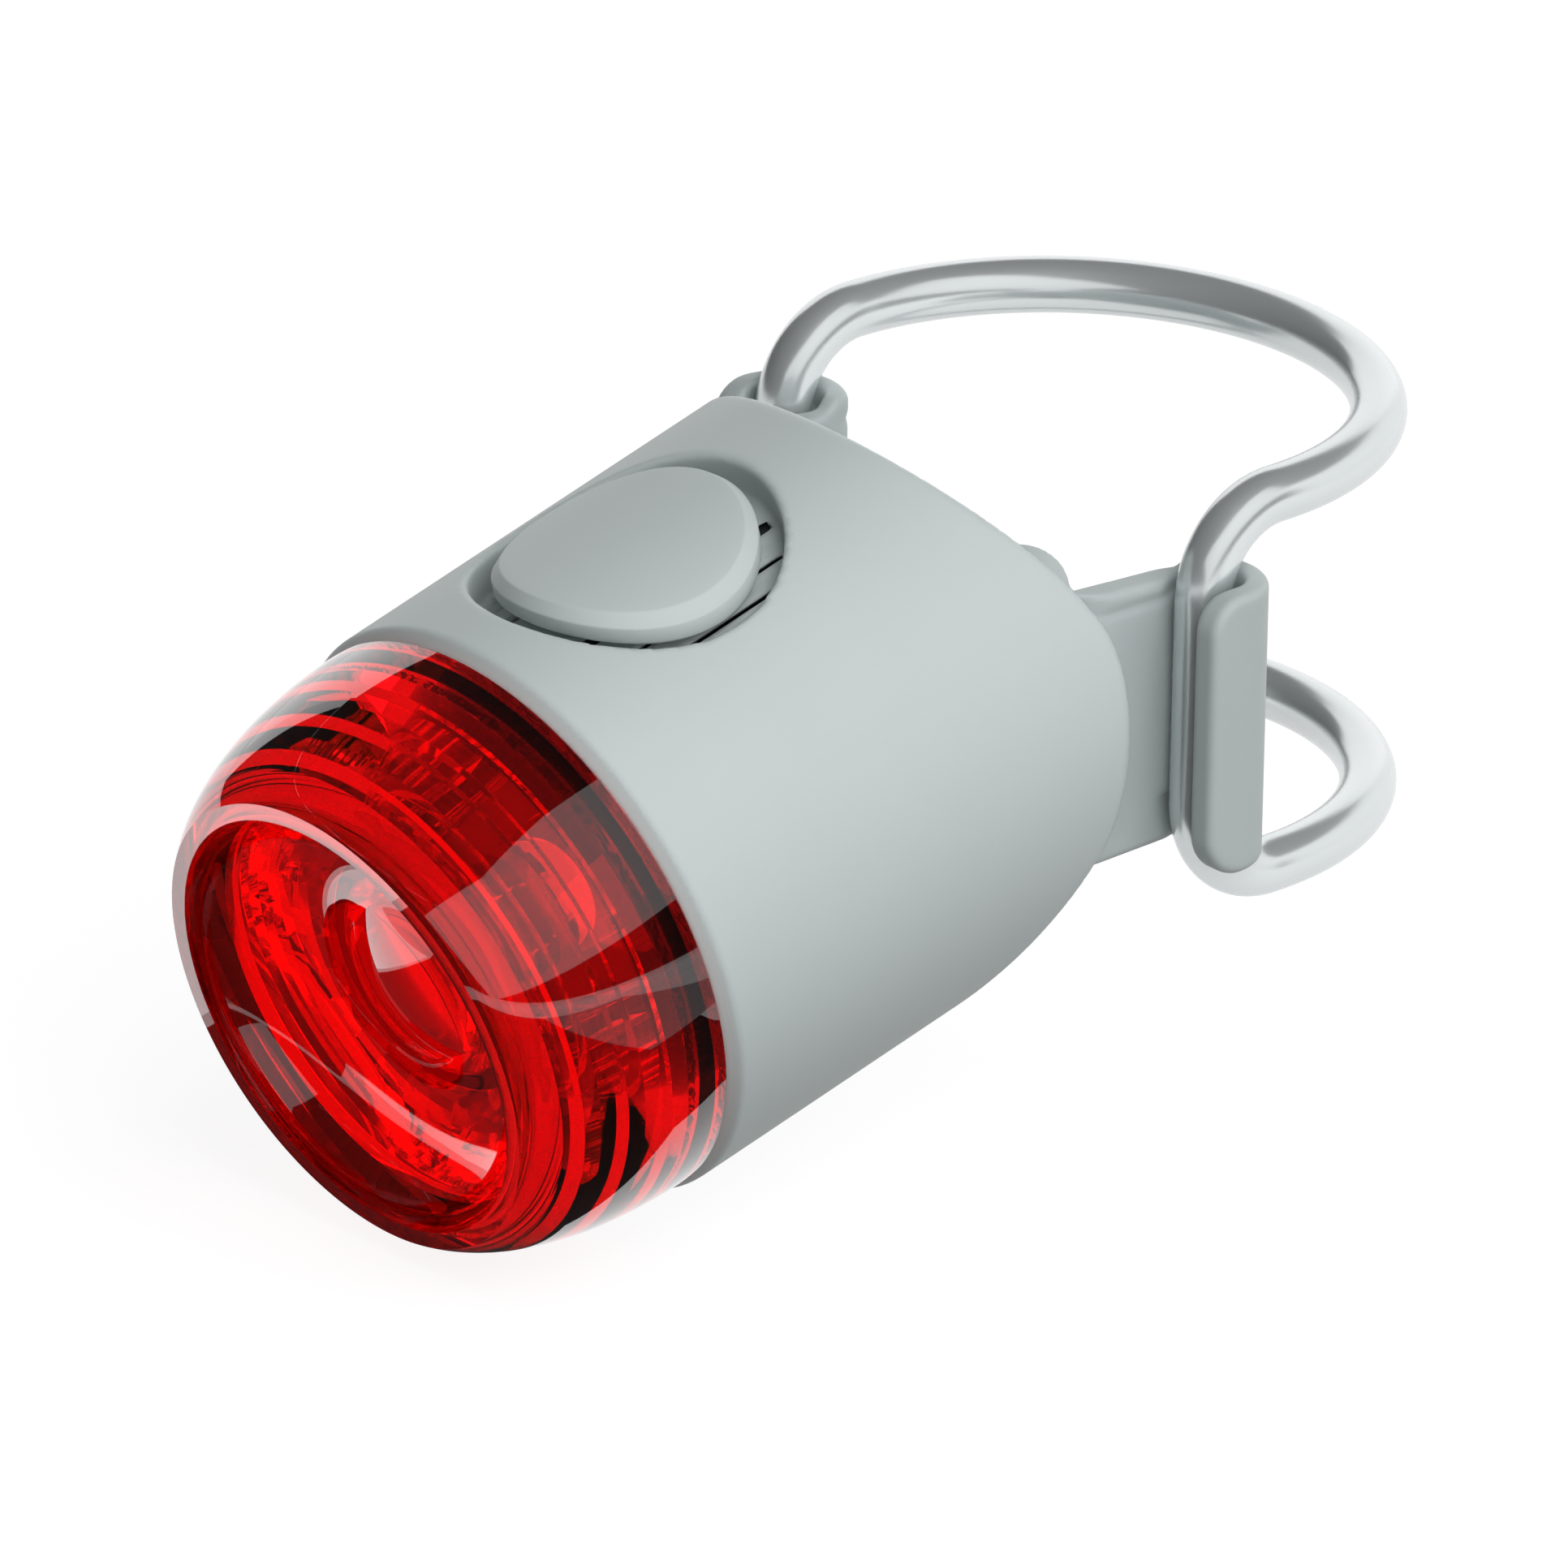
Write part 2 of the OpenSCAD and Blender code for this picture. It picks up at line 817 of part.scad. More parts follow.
// Moulded strap: saddle pad, two wings and the fixed part of both hooks
module strap() {
    pad_x = saddle_r * sin(pad_arc / 2);
    color("#b0bbba")
        difference() {
            union() {
                intersection() {
                    linear_extrude(pad_h, center = true)
                        saddle_plan(pad_arc);
                    rotate([90, 0, 0])
                        linear_extrude(far)
                            round_rect(2 * pad_x, pad_h, pad_corner_r);
                }
                linear_extrude(wing_h, center = true)
                    wings_plan();
                linear_extrude(wing_h - 2 * root_step, center = true)
                    intersection() {
                        saddle_plan(root_arc);
                        square([2 * wing_x, 2 * far], center = true);
                    }
                for (side = [0, 1])
                    mirror([side, 0, 0])
                        hook_curl();
            }
            clip_bends(wire_r + bend_gap);
            cylinder(r = post_r, h = far, center = true);
        }
}

// Free lip of a hook, with round corners and a round end
module hook_lip() {
    at_leg()
        intersection() {
            linear_extrude(hook_h, center = true)
                union() {
                    curl_plan(0, lip_flex_angle, lip_ri);
                    flex_plan(flex_r);
                    translate([lip_ri, lip_body / 2 - lip_reach])
                        square([lip_body, lip_reach - lip_body / 2 + eps]);
                    translate([lip_ri + lip_body / 2, lip_body / 2 - lip_reach])
                        circle(r = lip_body / 2);
                }
            translate([0, far / 2 - lip_reach, 0])
                rotate([90, 0, 90])
                    linear_extrude(far, center = true)
                        round_rect(far, hook_h, lip_corner_r);
        }
}

module near_lip() {
    color("#b0bbba")
        hook_lip();
}

module far_lip() {
    color("#b0bbba")
        mirror([1, 0, 0])
            hook_lip();
}

// Quarter bends between the legs and the arches, turned about X
module clip_bends(r) {
    for (side = [-1, 1], end = [[arch_top - leg_fwd, 90], [leg_fwd - arch_low, 180]])
        translate([side * leg_x, 0, end[0]])
            rotate([90, 0, 90])
                rotate([0, 0, end[1]])
                    rotate_extrude(angle = 90)
                        translate([leg_fwd, 0])
                            circle(r = r);
}

// Closed clip of polished spring wire: two legs and two arches behind the post
module wire_clip() {
    color("#d5dadb")
        union() {
            clip_bends(wire_r);
            for (side = [-1, 1])
                translate([side * leg_x, -leg_fwd, leg_fwd - arch_low])
                    cylinder(r = wire_r, h = arch_top + arch_low - 2 * leg_fwd);
            for (z = [arch_top, -arch_low])
                translate([0, 0, z])
                    rotate_extrude(angle = 180)
                        translate([leg_x, 0])
                            circle(r = wire_r);
        }
}

silicone_sleeve();
button_cap();
lens();
lens_gasket();
light_guide();
centre_optic();
led_board();
leds();
led_board_screws();
inner_case();
main_board();
board_pins();
board_chips();
tact_switch();
switch_plunger();
usb_socket();
usb_tongue();
port_cover();
battery_cell();
cell_foam();
battery_leads();
strap();
near_lip();
far_lip();
wire_clip();
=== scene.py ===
"""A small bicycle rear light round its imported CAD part: silicone body, red lens, strap and wire clip."""
import itertools
import math

import bmesh
import bpy
import numpy as np
from mathutils import Matrix, Vector


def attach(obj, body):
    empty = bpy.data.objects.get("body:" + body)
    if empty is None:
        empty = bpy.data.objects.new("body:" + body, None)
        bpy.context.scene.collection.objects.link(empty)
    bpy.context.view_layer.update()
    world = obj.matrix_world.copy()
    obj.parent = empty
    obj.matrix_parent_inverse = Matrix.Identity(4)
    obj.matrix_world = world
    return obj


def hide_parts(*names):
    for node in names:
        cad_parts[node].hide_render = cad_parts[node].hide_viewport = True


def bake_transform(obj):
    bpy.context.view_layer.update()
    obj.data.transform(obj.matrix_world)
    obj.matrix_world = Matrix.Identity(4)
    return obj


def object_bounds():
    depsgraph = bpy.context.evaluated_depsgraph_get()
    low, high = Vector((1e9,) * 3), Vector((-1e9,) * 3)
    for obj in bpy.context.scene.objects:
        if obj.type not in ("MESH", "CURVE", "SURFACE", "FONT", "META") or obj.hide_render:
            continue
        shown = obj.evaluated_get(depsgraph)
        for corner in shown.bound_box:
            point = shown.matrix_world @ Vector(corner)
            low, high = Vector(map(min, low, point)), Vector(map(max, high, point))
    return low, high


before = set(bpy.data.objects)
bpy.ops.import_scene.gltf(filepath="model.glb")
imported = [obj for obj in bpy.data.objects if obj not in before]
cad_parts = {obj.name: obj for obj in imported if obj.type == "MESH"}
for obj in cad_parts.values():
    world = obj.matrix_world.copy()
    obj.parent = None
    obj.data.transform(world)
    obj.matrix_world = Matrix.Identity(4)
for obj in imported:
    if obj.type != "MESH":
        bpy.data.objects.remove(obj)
cad_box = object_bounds()
MM = 0.001

# Camera. A very long lens, above the light and to the right of where it shines,
# so that the sides of the round body run almost parallel.
turn, rise, lean = (math.radians(a) for a in (48.03, 22.33, 1.357))
focal_mm, sensor_mm, frame_width = 1000.0, 36.0, 0.07346
frame_centre = Vector((-0.11, -16.94, -5.02)) * MM
to_camera = Vector((math.sin(turn) * math.cos(rise), -math.cos(turn) * math.cos(rise), math.sin(rise)))
level = Vector((math.cos(turn), math.sin(turn), 0.0))
upright = to_camera.cross(level)
right = level * math.cos(lean) + upright * math.sin(lean)
up = upright * math.cos(lean) - level * math.sin(lean)
camera = bpy.data.objects.new("camera", bpy.data.cameras.new("camera"))
camera.data.lens, camera.data.sensor_width, camera.data.clip_end = focal_mm, sensor_mm, 50.0
bpy.context.collection.objects.link(camera)
stand_off = frame_width * focal_mm / sensor_mm
camera.matrix_world = (
    Matrix.Translation(frame_centre + to_camera * stand_off)
    @ Matrix((right, up, to_camera)).transposed().to_4x4()
)
bpy.context.scene.camera = camera

# Studio. A pale floor that keeps a soft shadow, a white surround, and large soft lamps: the main one
# hangs high on the camera's right. Panels and flags give polished surfaces something to mirror.
scene = bpy.context.scene
scene.view_settings.view_transform = "Standard"
scene.cycles.max_bounces, scene.cycles.glossy_bounces, scene.cycles.transmission_bounces = 32, 20, 28


def seen_directly(tree):
    """A factor of 1 for camera, glossy and transmission rays, and 0 for diffuse light."""
    path = tree.nodes.new("ShaderNodeLightPath")
    either = tree.nodes.new("ShaderNodeMath")
    either.operation = "MAXIMUM"
    tree.links.new(path.outputs["Is Camera Ray"], either.inputs[0])
    tree.links.new(path.outputs["Is Glossy Ray"], either.inputs[1])
    both = tree.nodes.new("ShaderNodeMath")
    both.operation = "MAXIMUM"
    tree.links.new(either.outputs[0], both.inputs[0])
    tree.links.new(path.outputs["Is Transmission Ray"], both.inputs[1])
    return both.outputs[0]


ambient, surround = 0.06, 1.0
scene.world = bpy.data.worlds.new("white_surround")
scene.world.use_nodes = True
world_tree = scene.world.node_tree
backing = world_tree.nodes["Background"]
backing.inputs["Color"].default_value = (1.0, 1.0, 1.0, 1.0)
strength = world_tree.nodes.new("ShaderNodeMapRange")
strength.inputs["To Min"].default_value = ambient
strength.inputs["To Max"].default_value = surround
world_tree.links.new(seen_directly(world_tree), strength.inputs["Value"])
world_tree.links.new(strength.outputs["Result"], backing.inputs["Strength"])

floor_half, floor_drop, floor_grey, floor_glow = 3.0, 0.4 * MM, 0.2, 0.88
floor_mesh = bpy.data.meshes.new("floor")
floor_z = cad_box[0].z - floor_drop
floor_corners = [(x * floor_half, y * floor_half, floor_z) for x, y in ((-1, -1), (1, -1), (1, 1), (-1, 1))]
floor_mesh.from_pydata(floor_corners, [], [(0, 1, 2, 3)])
floor = bpy.data.objects.new("floor", floor_mesh)
bpy.context.collection.objects.link(floor)
floor_paint = bpy.data.materials.new("floor_paint")
floor_paint.use_nodes = True
tree = floor_paint.node_tree
tree.nodes.remove(tree.nodes["Principled BSDF"])
matt = tree.nodes.new("ShaderNodeBsdfDiffuse")
matt.inputs["Color"].default_value = (floor_grey, floor_grey, floor_grey, 1.0)
glow = tree.nodes.new("ShaderNodeEmission")
glow_level = tree.nodes.new("ShaderNodeMath")
glow_level.operation = "MULTIPLY"
glow_level.inputs[1].default_value = floor_glow
tree.links.new(seen_directly(tree), glow_level.inputs[0])
tree.links.new(glow_level.outputs[0], glow.inputs["Strength"])
both_layers = tree.nodes.new("ShaderNodeAddShader")
tree.links.new(matt.outputs[0], both_layers.inputs[0])
tree.links.new(glow.outputs[0], both_layers.inputs[1])
tree.links.new(both_layers.outputs[0], tree.nodes["Material Output"].inputs["Surface"])
floor_mesh.materials.append(floor_paint)


def bearing(azimuth, elevation):
    """Unit vector towards a bearing, given as the camera's is."""
    a, e = math.radians(azimuth), math.radians(elevation)
    return Vector((math.sin(a) * math.cos(e), -math.cos(a) * math.cos(e), math.sin(e)))


def softbox(name, azimuth, elevation, distance, width, height, power):
    """An area lamp that faces the light and leaves no reflection of itself."""
    back = bearing(azimuth, elevation)
    lamp = bpy.data.lights.new(name, "AREA")
    lamp.shape, lamp.size, lamp.size_y, lamp.energy = "RECTANGLE", width, height, power
    holder = bpy.data.objects.new(name, lamp)
    bpy.context.collection.objects.link(holder)
    holder.location = frame_centre + back * distance
    holder.rotation_mode = "QUATERNION"
    holder.rotation_quaternion = (-back).to_track_quat("-Z", "Y")
    holder.visible_glossy = False


softbox("high_softbox", 75.0, 58.0, 0.60, 0.40, 0.40, 1.72)
softbox("side_softbox", 85.0, 25.0, 0.45, 0.72, 0.34, 1.52)
softbox("camera_fill", 58.0, 38.0, 0.60, 0.40, 0.40, 0.3)
softbox("far_fill", -105.0, 6.0, 0.60, 0.50, 0.30, 1.6)
softbox("back_softbox", -160.0, 7.0, 0.60, 0.60, 0.30, 1.8)


def panel(name, points, faces, radiance):
    """Part of the studio that shows only in polished surfaces."""
    mesh = bpy.data.meshes.new(name)
    mesh.from_pydata([tuple(p) for p in points], [], faces)
    stand = bpy.data.objects.new(name, mesh)
    bpy.context.collection.objects.link(stand)
    stand.visible_camera = stand.visible_diffuse = stand.visible_shadow = stand.visible_transmission = False
    cloth = bpy.data.materials.new(name)
    cloth.use_nodes = True
    tree = cloth.node_tree
    tree.nodes.remove(tree.nodes["Principled BSDF"])
    shine = tree.nodes.new("ShaderNodeEmission")
    shine.inputs["Strength"].default_value = radiance
    tree.links.new(shine.outputs[0], tree.nodes["Material Output"].inputs["Surface"])
    mesh.materials.append(cloth)


def upright_panel(name, azimuth, elevation, distance, width, height, radiance):
    """A flat panel that stands upright and faces the light."""
    back = bearing(azimuth, elevation)
    across = Vector((0.0, 0.0, 1.0)).cross(back).normalized() * width / 2
    over = back.cross(across).normalized() * height / 2
    centre = frame_centre + back * distance
    corners = [centre + across * i + over * j for i, j in ((-1, -1), (1, -1), (1, 1), (-1, 1))]
    panel(name, corners, [(0, 1, 2, 3)], radiance)


def room_wall(name, azimuths, elevations, radiance, distance=1.5, columns=24):
    """A stretch of the dark room round the camera, as a net with as many rows as columns."""
    turns, rises = np.linspace(*azimuths, columns), np.linspace(*elevations, columns)
    points = [bearing(a, e) * distance for e in rises for a in turns]
    faces = []
    for row, column in itertools.product(range(columns - 1), repeat=2):
        first = row * columns + column
        faces.append((first, first + 1, first + columns + 1, first + columns))
    panel(name, points, faces, radiance)


upright_panel("left_panel", -130.0, 18.0, 0.60, 0.60, 0.40, 1.2)
side_distance = 1.2
side_bearings = ((19.0, 21.0), (52.0, 46.0), (89.0, 62.0), (130.0, 60.0),
                 (130.0, 18.0), (87.0, 10.0), (49.0, -2.0))
side_corners = [bearing(a, e) * side_distance for a, e in side_bearings]
panel("side_panel", side_corners, [tuple(range(len(side_corners)))], 0.85)
room_wall("front_room", (-98.0, 130.0), (-8.0, 30.0), 0.03)
room_wall("hood", (-180.0, 180.0), (30.0, 90.0), 0.03)
on_floor = floor_z + 0.1 * MM
floor_cards = (
    ("floor_reflector", 2.0, ((-23.0, -43.0), (-12.0, -68.5), (-60.0, -75.0), (-60.0, -35.0))),
    ("floor_flag", 0.03, (
        (-22.0, -43.0), (-11.0, -68.5), (-11.0, -200.0), (150.0, -200.0), (150.0, -80.0), (42.0, -25.0),
        (48.0, -10.0), (22.0, -14.0), (17.0, -28.0), (8.0, -36.0), (-10.0, -36.0),
    )),
    ("floor_card", 0.4, ((42.0, -25.0), (150.0, -80.0), (200.0, 0.0), (60.0, 20.0), (48.0, -10.0))),
)
for name, radiance, corners in floor_cards:
    outline = tuple(range(len(corners)))
    panel(name, [(x * MM, y * MM, on_floor) for x, y in corners], [outline], radiance)

# Silicone sleeve. The body of the light, moulded in one piece of matt grey silicone and pulled over
# the inner case. A hollow at the back takes the strap's pad, and the button and the port have seats.
tilt, reach, axis_height = math.radians(16.0), 35.7017, 2.4
body_r, bore_r, lip_set_back, lip_len, lip_draw = 15.0, 12.7, 0.45, 0.65, 0.6
saddle_r, saddle_y, horn_end, rear_wall_y = 17.3, 1.6, 8.1, 18.2
button_s, recess_r, recess_floor_r, stem_hole_r = 11.3, 7.5, 12.95, 2.5
port_s, port_z, seat_half_l, seat_top_z, seat_floor_r = 11.3, 3.4, 6.7, 7.0, 13.4
roll_x, roll_z, roll_seat_r, tunnel_half_l, tunnel_half_h = -14.2302, 0.75, 0.95, 5.07, 2.3
lip_round, front_round, horn_round, back_round = 0.06, 0.08, 1.5, 0.9
bore_end_round, bore_round, recess_floor_round, recess_rim_round = 0.3, 0.15, 0.35, 0.3
seat_corner, seat_round, tunnel_corner = 0.9, 0.15, 0.8


def to_row(points):
    """Body frame (across, behind the front edge, up) to the row frame, in millimetres."""
    back = points[:, 1] - reach
    return np.stack([
        points[:, 0],
        back * math.cos(tilt) - points[:, 2] * math.sin(tilt),
        axis_height + back * math.sin(tilt) + points[:, 2] * math.cos(tilt),
    ], 1)


def meet(a, b, radius):
    """Where two solids meet: their common part, its edge rounded. Depths are negative inside."""
    u, v = np.maximum(a + radius, 0), np.maximum(b + radius, 0)
    return np.minimum(np.maximum(a, b), -radius) + np.hypot(u, v)


def join(a, b, radius):
    """Two solids as one, with a rounded inner corner."""
    return -meet(-a, -b, radius)


def rounded_panel(a, b, half_a, half_b, radius):
    """Depth inside a rectangle with round corners."""
    u, v = np.abs(a) - half_a + radius, np.abs(b) - half_b + radius
    return np.hypot(np.maximum(u, 0), np.maximum(v, 0)) + np.minimum(np.maximum(u, v), 0) - radius


def sleeve_depth(p):
    """Depth in the sleeve at points of the body frame, negative inside it."""
    x, s, z = p[:, 0], p[:, 1], p[:, 2]
    row = to_row(p)
    radius = np.hypot(x, z)
    lip_lean = math.atan2(lip_draw, lip_len)
    lip = (radius - body_r) * math.cos(lip_lean) + (lip_set_back + lip_len - s) * math.sin(lip_lean)
    form = meet(meet(radius - body_r, lip, lip_round), lip_set_back - s, front_round)
    hollow = saddle_r - np.hypot(row[:, 0], row[:, 1] - saddle_y)
    back = meet(hollow, row[:, 1] + horn_end, horn_round)
    form = meet(form, back, back_round)
    bore = meet(radius - bore_r, row[:, 1] + rear_wall_y, bore_end_round)
    form = meet(form, -bore, bore_round)
    from_button = np.hypot(x, s - button_s)
    recess = meet(from_button - recess_r, recess_floor_r - radius, recess_floor_round)
    form = meet(form, -np.maximum(recess, -z), recess_rim_round)
    form = np.maximum(form, -np.maximum(from_button - stem_hole_r, -z))
    seat_mid, seat_half_h = (roll_z + seat_top_z) / 2, (seat_top_z - roll_z) / 2
    seat = rounded_panel(s - port_s, z - seat_mid, seat_half_l, seat_half_h, seat_corner)
    seat = np.maximum(np.maximum(seat, seat_floor_r - radius), x)
    roll = np.maximum(np.hypot(x - roll_x, z - roll_z) - roll_seat_r, np.abs(s - port_s) - seat_half_l)
    form = meet(form, -np.minimum(seat, roll), seat_round)
    tunnel = rounded_panel(s - port_s, z - port_z, tunnel_half_l, tunnel_half_h, tunnel_corner)
    return np.maximum(form, -np.maximum(tunnel, x))


def wrap(depth, low, high, step):
    """Points and quads of the skin round a solid: a net over the cells that it crosses, drawn onto it."""
    axes = [np.arange(a - 2 * step, b + 3 * step, step) for a, b in zip(low, high)]
    size = [len(a) for a in axes]
    values = np.empty(size)
    for i, x in enumerate(axes[0]):
        sheet = np.stack(np.meshgrid([x], axes[1], axes[2], indexing="ij"), -1)
        values[i] = depth(sheet.reshape(-1, 3)).reshape(size[1:])
    inside = values < 0
    cells = [n - 1 for n in size]
    total, count = np.zeros((*cells, 3)), np.zeros(cells)
    crossings = []
    for axis in range(3):
        first = [slice(None)] * 3
        second = [slice(None)] * 3
        first[axis], second[axis] = slice(0, -1), slice(1, None)
        a, b = values[tuple(first)], values[tuple(second)]
        crossed = (a < 0) != (b < 0)
        share = np.where(crossed, a / np.where(crossed, a - b, 1), 0)
        for offset in itertools.product((0, 1), repeat=2):
            window = [slice(None)] * 3
            place = [0, 0, 0]
            for other, o in zip([k for k in range(3) if k != axis], offset):
                window[other] = slice(o, o + cells[other])
                place[other] = o
            hit = crossed[tuple(window)]
            count += hit
            for k in range(3):
                total[..., k] += hit * (share[tuple(window)] if k == axis else place[k])
        crossings.append((crossed, a < 0))
    used = count > 0
    number = np.full(cells, -1)
    number[used] = np.arange(used.sum())
    corner = np.stack(np.nonzero(used), 1)
    start = np.array([a[0] for a in axes])
    points = start + step * (corner + total[used] / count[used][:, None])
    quads = []
    for axis, (crossed, starts_inside) in enumerate(crossings):
        j, k = [(1, 2), (2, 0), (0, 1)][axis]
        where = np.stack(np.nonzero(crossed), 1)
        where = where[(where[:, j] > 0) & (where[:, k] > 0)]
        where = where[(where[:, j] < cells[j]) & (where[:, k] < cells[k])]
        ring = []
        for dj, dk in ((1, 1), (0, 1), (0, 0), (1, 0)):
            cell = where.copy()
            cell[:, j] -= dj
            cell[:, k] -= dk
            ring.append(number[tuple(cell.T)])
        ring = np.stack(ring, 1)
        forward = starts_inside[tuple(where.T)]
        quads.append(np.where(forward[:, None], ring, ring[:, ::-1]))
    quads = np.concatenate(quads)
    edges = np.concatenate([quads[:, [i, (i + 1) % 4]] for i in range(4)])

    nudge = 0.002

    def draw(points):
        """Moves points along the slope until they lie on the solid's skin."""
        for _ in range(4):
            value = depth(points)
            slope = np.stack([
                (depth(points + h) - depth(points - h)) / (2 * np.abs(h).sum()) for h in np.eye(3) * nudge
            ], 1)
            move = slope * (value / np.maximum((slope ** 2).sum(1), 0.05))[:, None]
            length = np.linalg.norm(move, axis=1)
            points = points - move * np.minimum(1, step / np.maximum(length, 1e-9))[:, None]
        return points

    points = draw(points)
    for _ in range(3):
        mean, ways = np.zeros_like(points), np.zeros(len(points))
        np.add.at(mean, edges[:, 0], points[edges[:, 1]])
        np.add.at(ways, edges[:, 0], 1)
        points = draw(points * 0.4 + 0.6 * mean / np.maximum(ways, 1)[:, None])
    return points, quads


def piece(name, points, faces, material, sharp=None):
    """A closed mesh at the origin from points in millimetres of the row frame, its faces turned outwards."""
    points = np.asarray(points)
    faces = [tuple(f) for f in faces]
    fan = np.array([(f[0], f[k], f[k + 1]) for f in faces for k in range(1, len(f) - 1)])
    a, b, c = (points[fan[:, k]] for k in range(3))
    if (a * np.cross(b, c)).sum() < 0:
        faces = [f[::-1] for f in faces]
    mesh = bpy.data.meshes.new(name)
    mesh.from_pydata((points * MM).tolist(), [], faces)
    mesh.validate()
    mesh.polygons.foreach_set("use_smooth", [True] * len(mesh.polygons))
    if sharp:
        mesh.set_sharp_from_angle(angle=math.radians(sharp))
    mesh.materials.append(material)
    made = bpy.data.objects.new(name, mesh)
    bpy.context.collection.objects.link(made)
    return made


def surface_marks():
    """Faint clouding, uneven gloss and a fine grain, shared by the moulded and cut pieces."""
    group = bpy.data.node_groups.new("surface_marks", "ShaderNodeTree")
    face = group.interface
    face.new_socket("Colour", in_out="INPUT", socket_type="NodeSocketColor")
    for name in ("Gloss", "Clouding", "Cloud Scale", "Grain Scale"):
        face.new_socket(name, in_out="INPUT", socket_type="NodeSocketFloat")
    face.new_socket("Colour", in_out="OUTPUT", socket_type="NodeSocketColor")
    face.new_socket("Roughness", in_out="OUTPUT", socket_type="NodeSocketFloat")
    face.new_socket("Height", in_out="OUTPUT", socket_type="NodeSocketFloat")
    nodes, links = group.nodes, group.links
    given, out = nodes.new("NodeGroupInput"), nodes.new("NodeGroupOutput")
    where = nodes.new("ShaderNodeTexCoord")
    cloud, grain = nodes.new("ShaderNodeTexNoise"), nodes.new("ShaderNodeTexNoise")
    cloud.inputs["Detail"].default_value = 3.0
    grain.inputs["Detail"].default_value = 2.0
    for noise, scale in ((cloud, "Cloud Scale"), (grain, "Grain Scale")):
        links.new(where.outputs["Object"], noise.inputs["Vector"])
        links.new(given.outputs[scale], noise.inputs["Scale"])
    centred = nodes.new("ShaderNodeMath")
    centred.operation = "SUBTRACT"
    centred.inputs[1].default_value = 0.5
    links.new(cloud.outputs["Fac"], centred.inputs[0])
    swing = nodes.new("ShaderNodeMath")
    swing.operation = "MULTIPLY"
    links.new(centred.outputs[0], swing.inputs[0])
    links.new(given.outputs["Clouding"], swing.inputs[1])
    lift = nodes.new("ShaderNodeMath")
    lift.operation = "ADD"
    lift.inputs[1].default_value = 1.0
    links.new(swing.outputs[0], lift.inputs[0])
    shade = nodes.new("ShaderNodeVectorMath")
    shade.operation = "SCALE"
    links.new(given.outputs["Colour"], shade.inputs[0])
    links.new(lift.outputs[0], shade.inputs["Scale"])
    links.new(shade.outputs[0], out.inputs["Colour"])
    uneven = nodes.new("ShaderNodeMath")
    uneven.operation = "MULTIPLY_ADD"
    uneven.inputs[1].default_value = 0.12
    links.new(grain.outputs["Fac"], uneven.inputs[0])
    links.new(given.outputs["Gloss"], uneven.inputs[2])
    links.new(uneven.outputs[0], out.inputs["Roughness"])
    links.new(grain.outputs["Fac"], out.inputs["Height"])
    return group


marks_group = surface_marks()


def moulded(name, colour, gloss, clouding=0.08, cloud_mm=4.0, grain_mm=0.12, depth_mm=0.004, plain=()):
    """A material with surface marks; plain sets sockets that are the same all over."""
    material = bpy.data.materials.new(name)
    material.use_nodes = True
    nodes, links = material.node_tree.nodes, material.node_tree.links
    shader = nodes["Principled BSDF"]
    marks = nodes.new("ShaderNodeGroup")
    marks.node_tree = marks_group
    marks.inputs["Colour"].default_value = (*colour, 1.0)
    marks.inputs["Gloss"].default_value = gloss - 0.06
    marks.inputs["Clouding"].default_value = clouding
    marks.inputs["Cloud Scale"].default_value = 1 / (cloud_mm * MM)
    marks.inputs["Grain Scale"].default_value = 1 / (grain_mm * MM)
    bump = nodes.new("ShaderNodeBump")
    bump.inputs["Strength"].default_value = 1.0
    bump.inputs["Distance"].default_value = depth_mm * MM
    links.new(marks.outputs["Colour"], shader.inputs["Base Color"])
    links.new(marks.outputs["Roughness"], shader.inputs["Roughness"])
    links.new(marks.outputs["Height"], bump.inputs["Height"])
    links.new(bump.outputs["Normal"], shader.inputs["Normal"])
    for socket, value in plain:
        shader.inputs[socket].default_value = value
    return material


body_silicone = moulded("body_silicone", (0.515, 0.571, 0.565), 0.56, 0.03, 6.0, 0.10, 0.003,
                        (("Sheen Weight", 0.08), ("Sheen Roughness", 0.5), ("IOR", 1.42)))
sleeve_points, sleeve_quads = wrap(sleeve_depth, (-15, 0, -15), (15, 32, 15), 0.25)
sleeve = piece("silicone_body", to_row(sleeve_points), sleeve_quads, body_silicone)
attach(sleeve, "light")
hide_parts("silicone_sleeve")

# Button cap. A round silicone cap whose top follows the body, with a chamfer all round;
# its stem stands on the switch's plunger, and it springs back by itself.
cap_r, cap_top_r, cap_low_r, cap_chamfer = 6.35, 15.3, 13.95, 0.5
stem_r, stem_end = 2.2, 9.55
around = np.linspace(0, 2 * math.pi, 160, endpoint=False)


def cap_ring(radius, crown=None, height=None):
    """A ring of the cap, level at a height or laid on a crown about the body's axis."""
    x = radius * np.cos(around)
    z = np.full_like(x, height) if crown is None else np.sqrt(crown ** 2 - x ** 2)
    return np.stack([x, button_s + radius * np.sin(around), z], 1)


def stack_rings(rings, first, last):
    """Quads between rings of equal counts, closed by a fan onto a point at each end."""
    n = len(rings[0])
    points = np.concatenate([*rings, [first], [last]])
    faces = []
    for k in range(len(rings) - 1):
        for i in range(n):
            j = (i + 1) % n
            faces.append((k * n + i, k * n + j, (k + 1) * n + j, (k + 1) * n + i))
    tail = (len(rings) - 1) * n
    for i in range(n):
        j = (i + 1) % n
        faces.append((len(points) - 2, j, i))
        faces.append((len(points) - 1, tail + i, tail + j))
    return points, faces


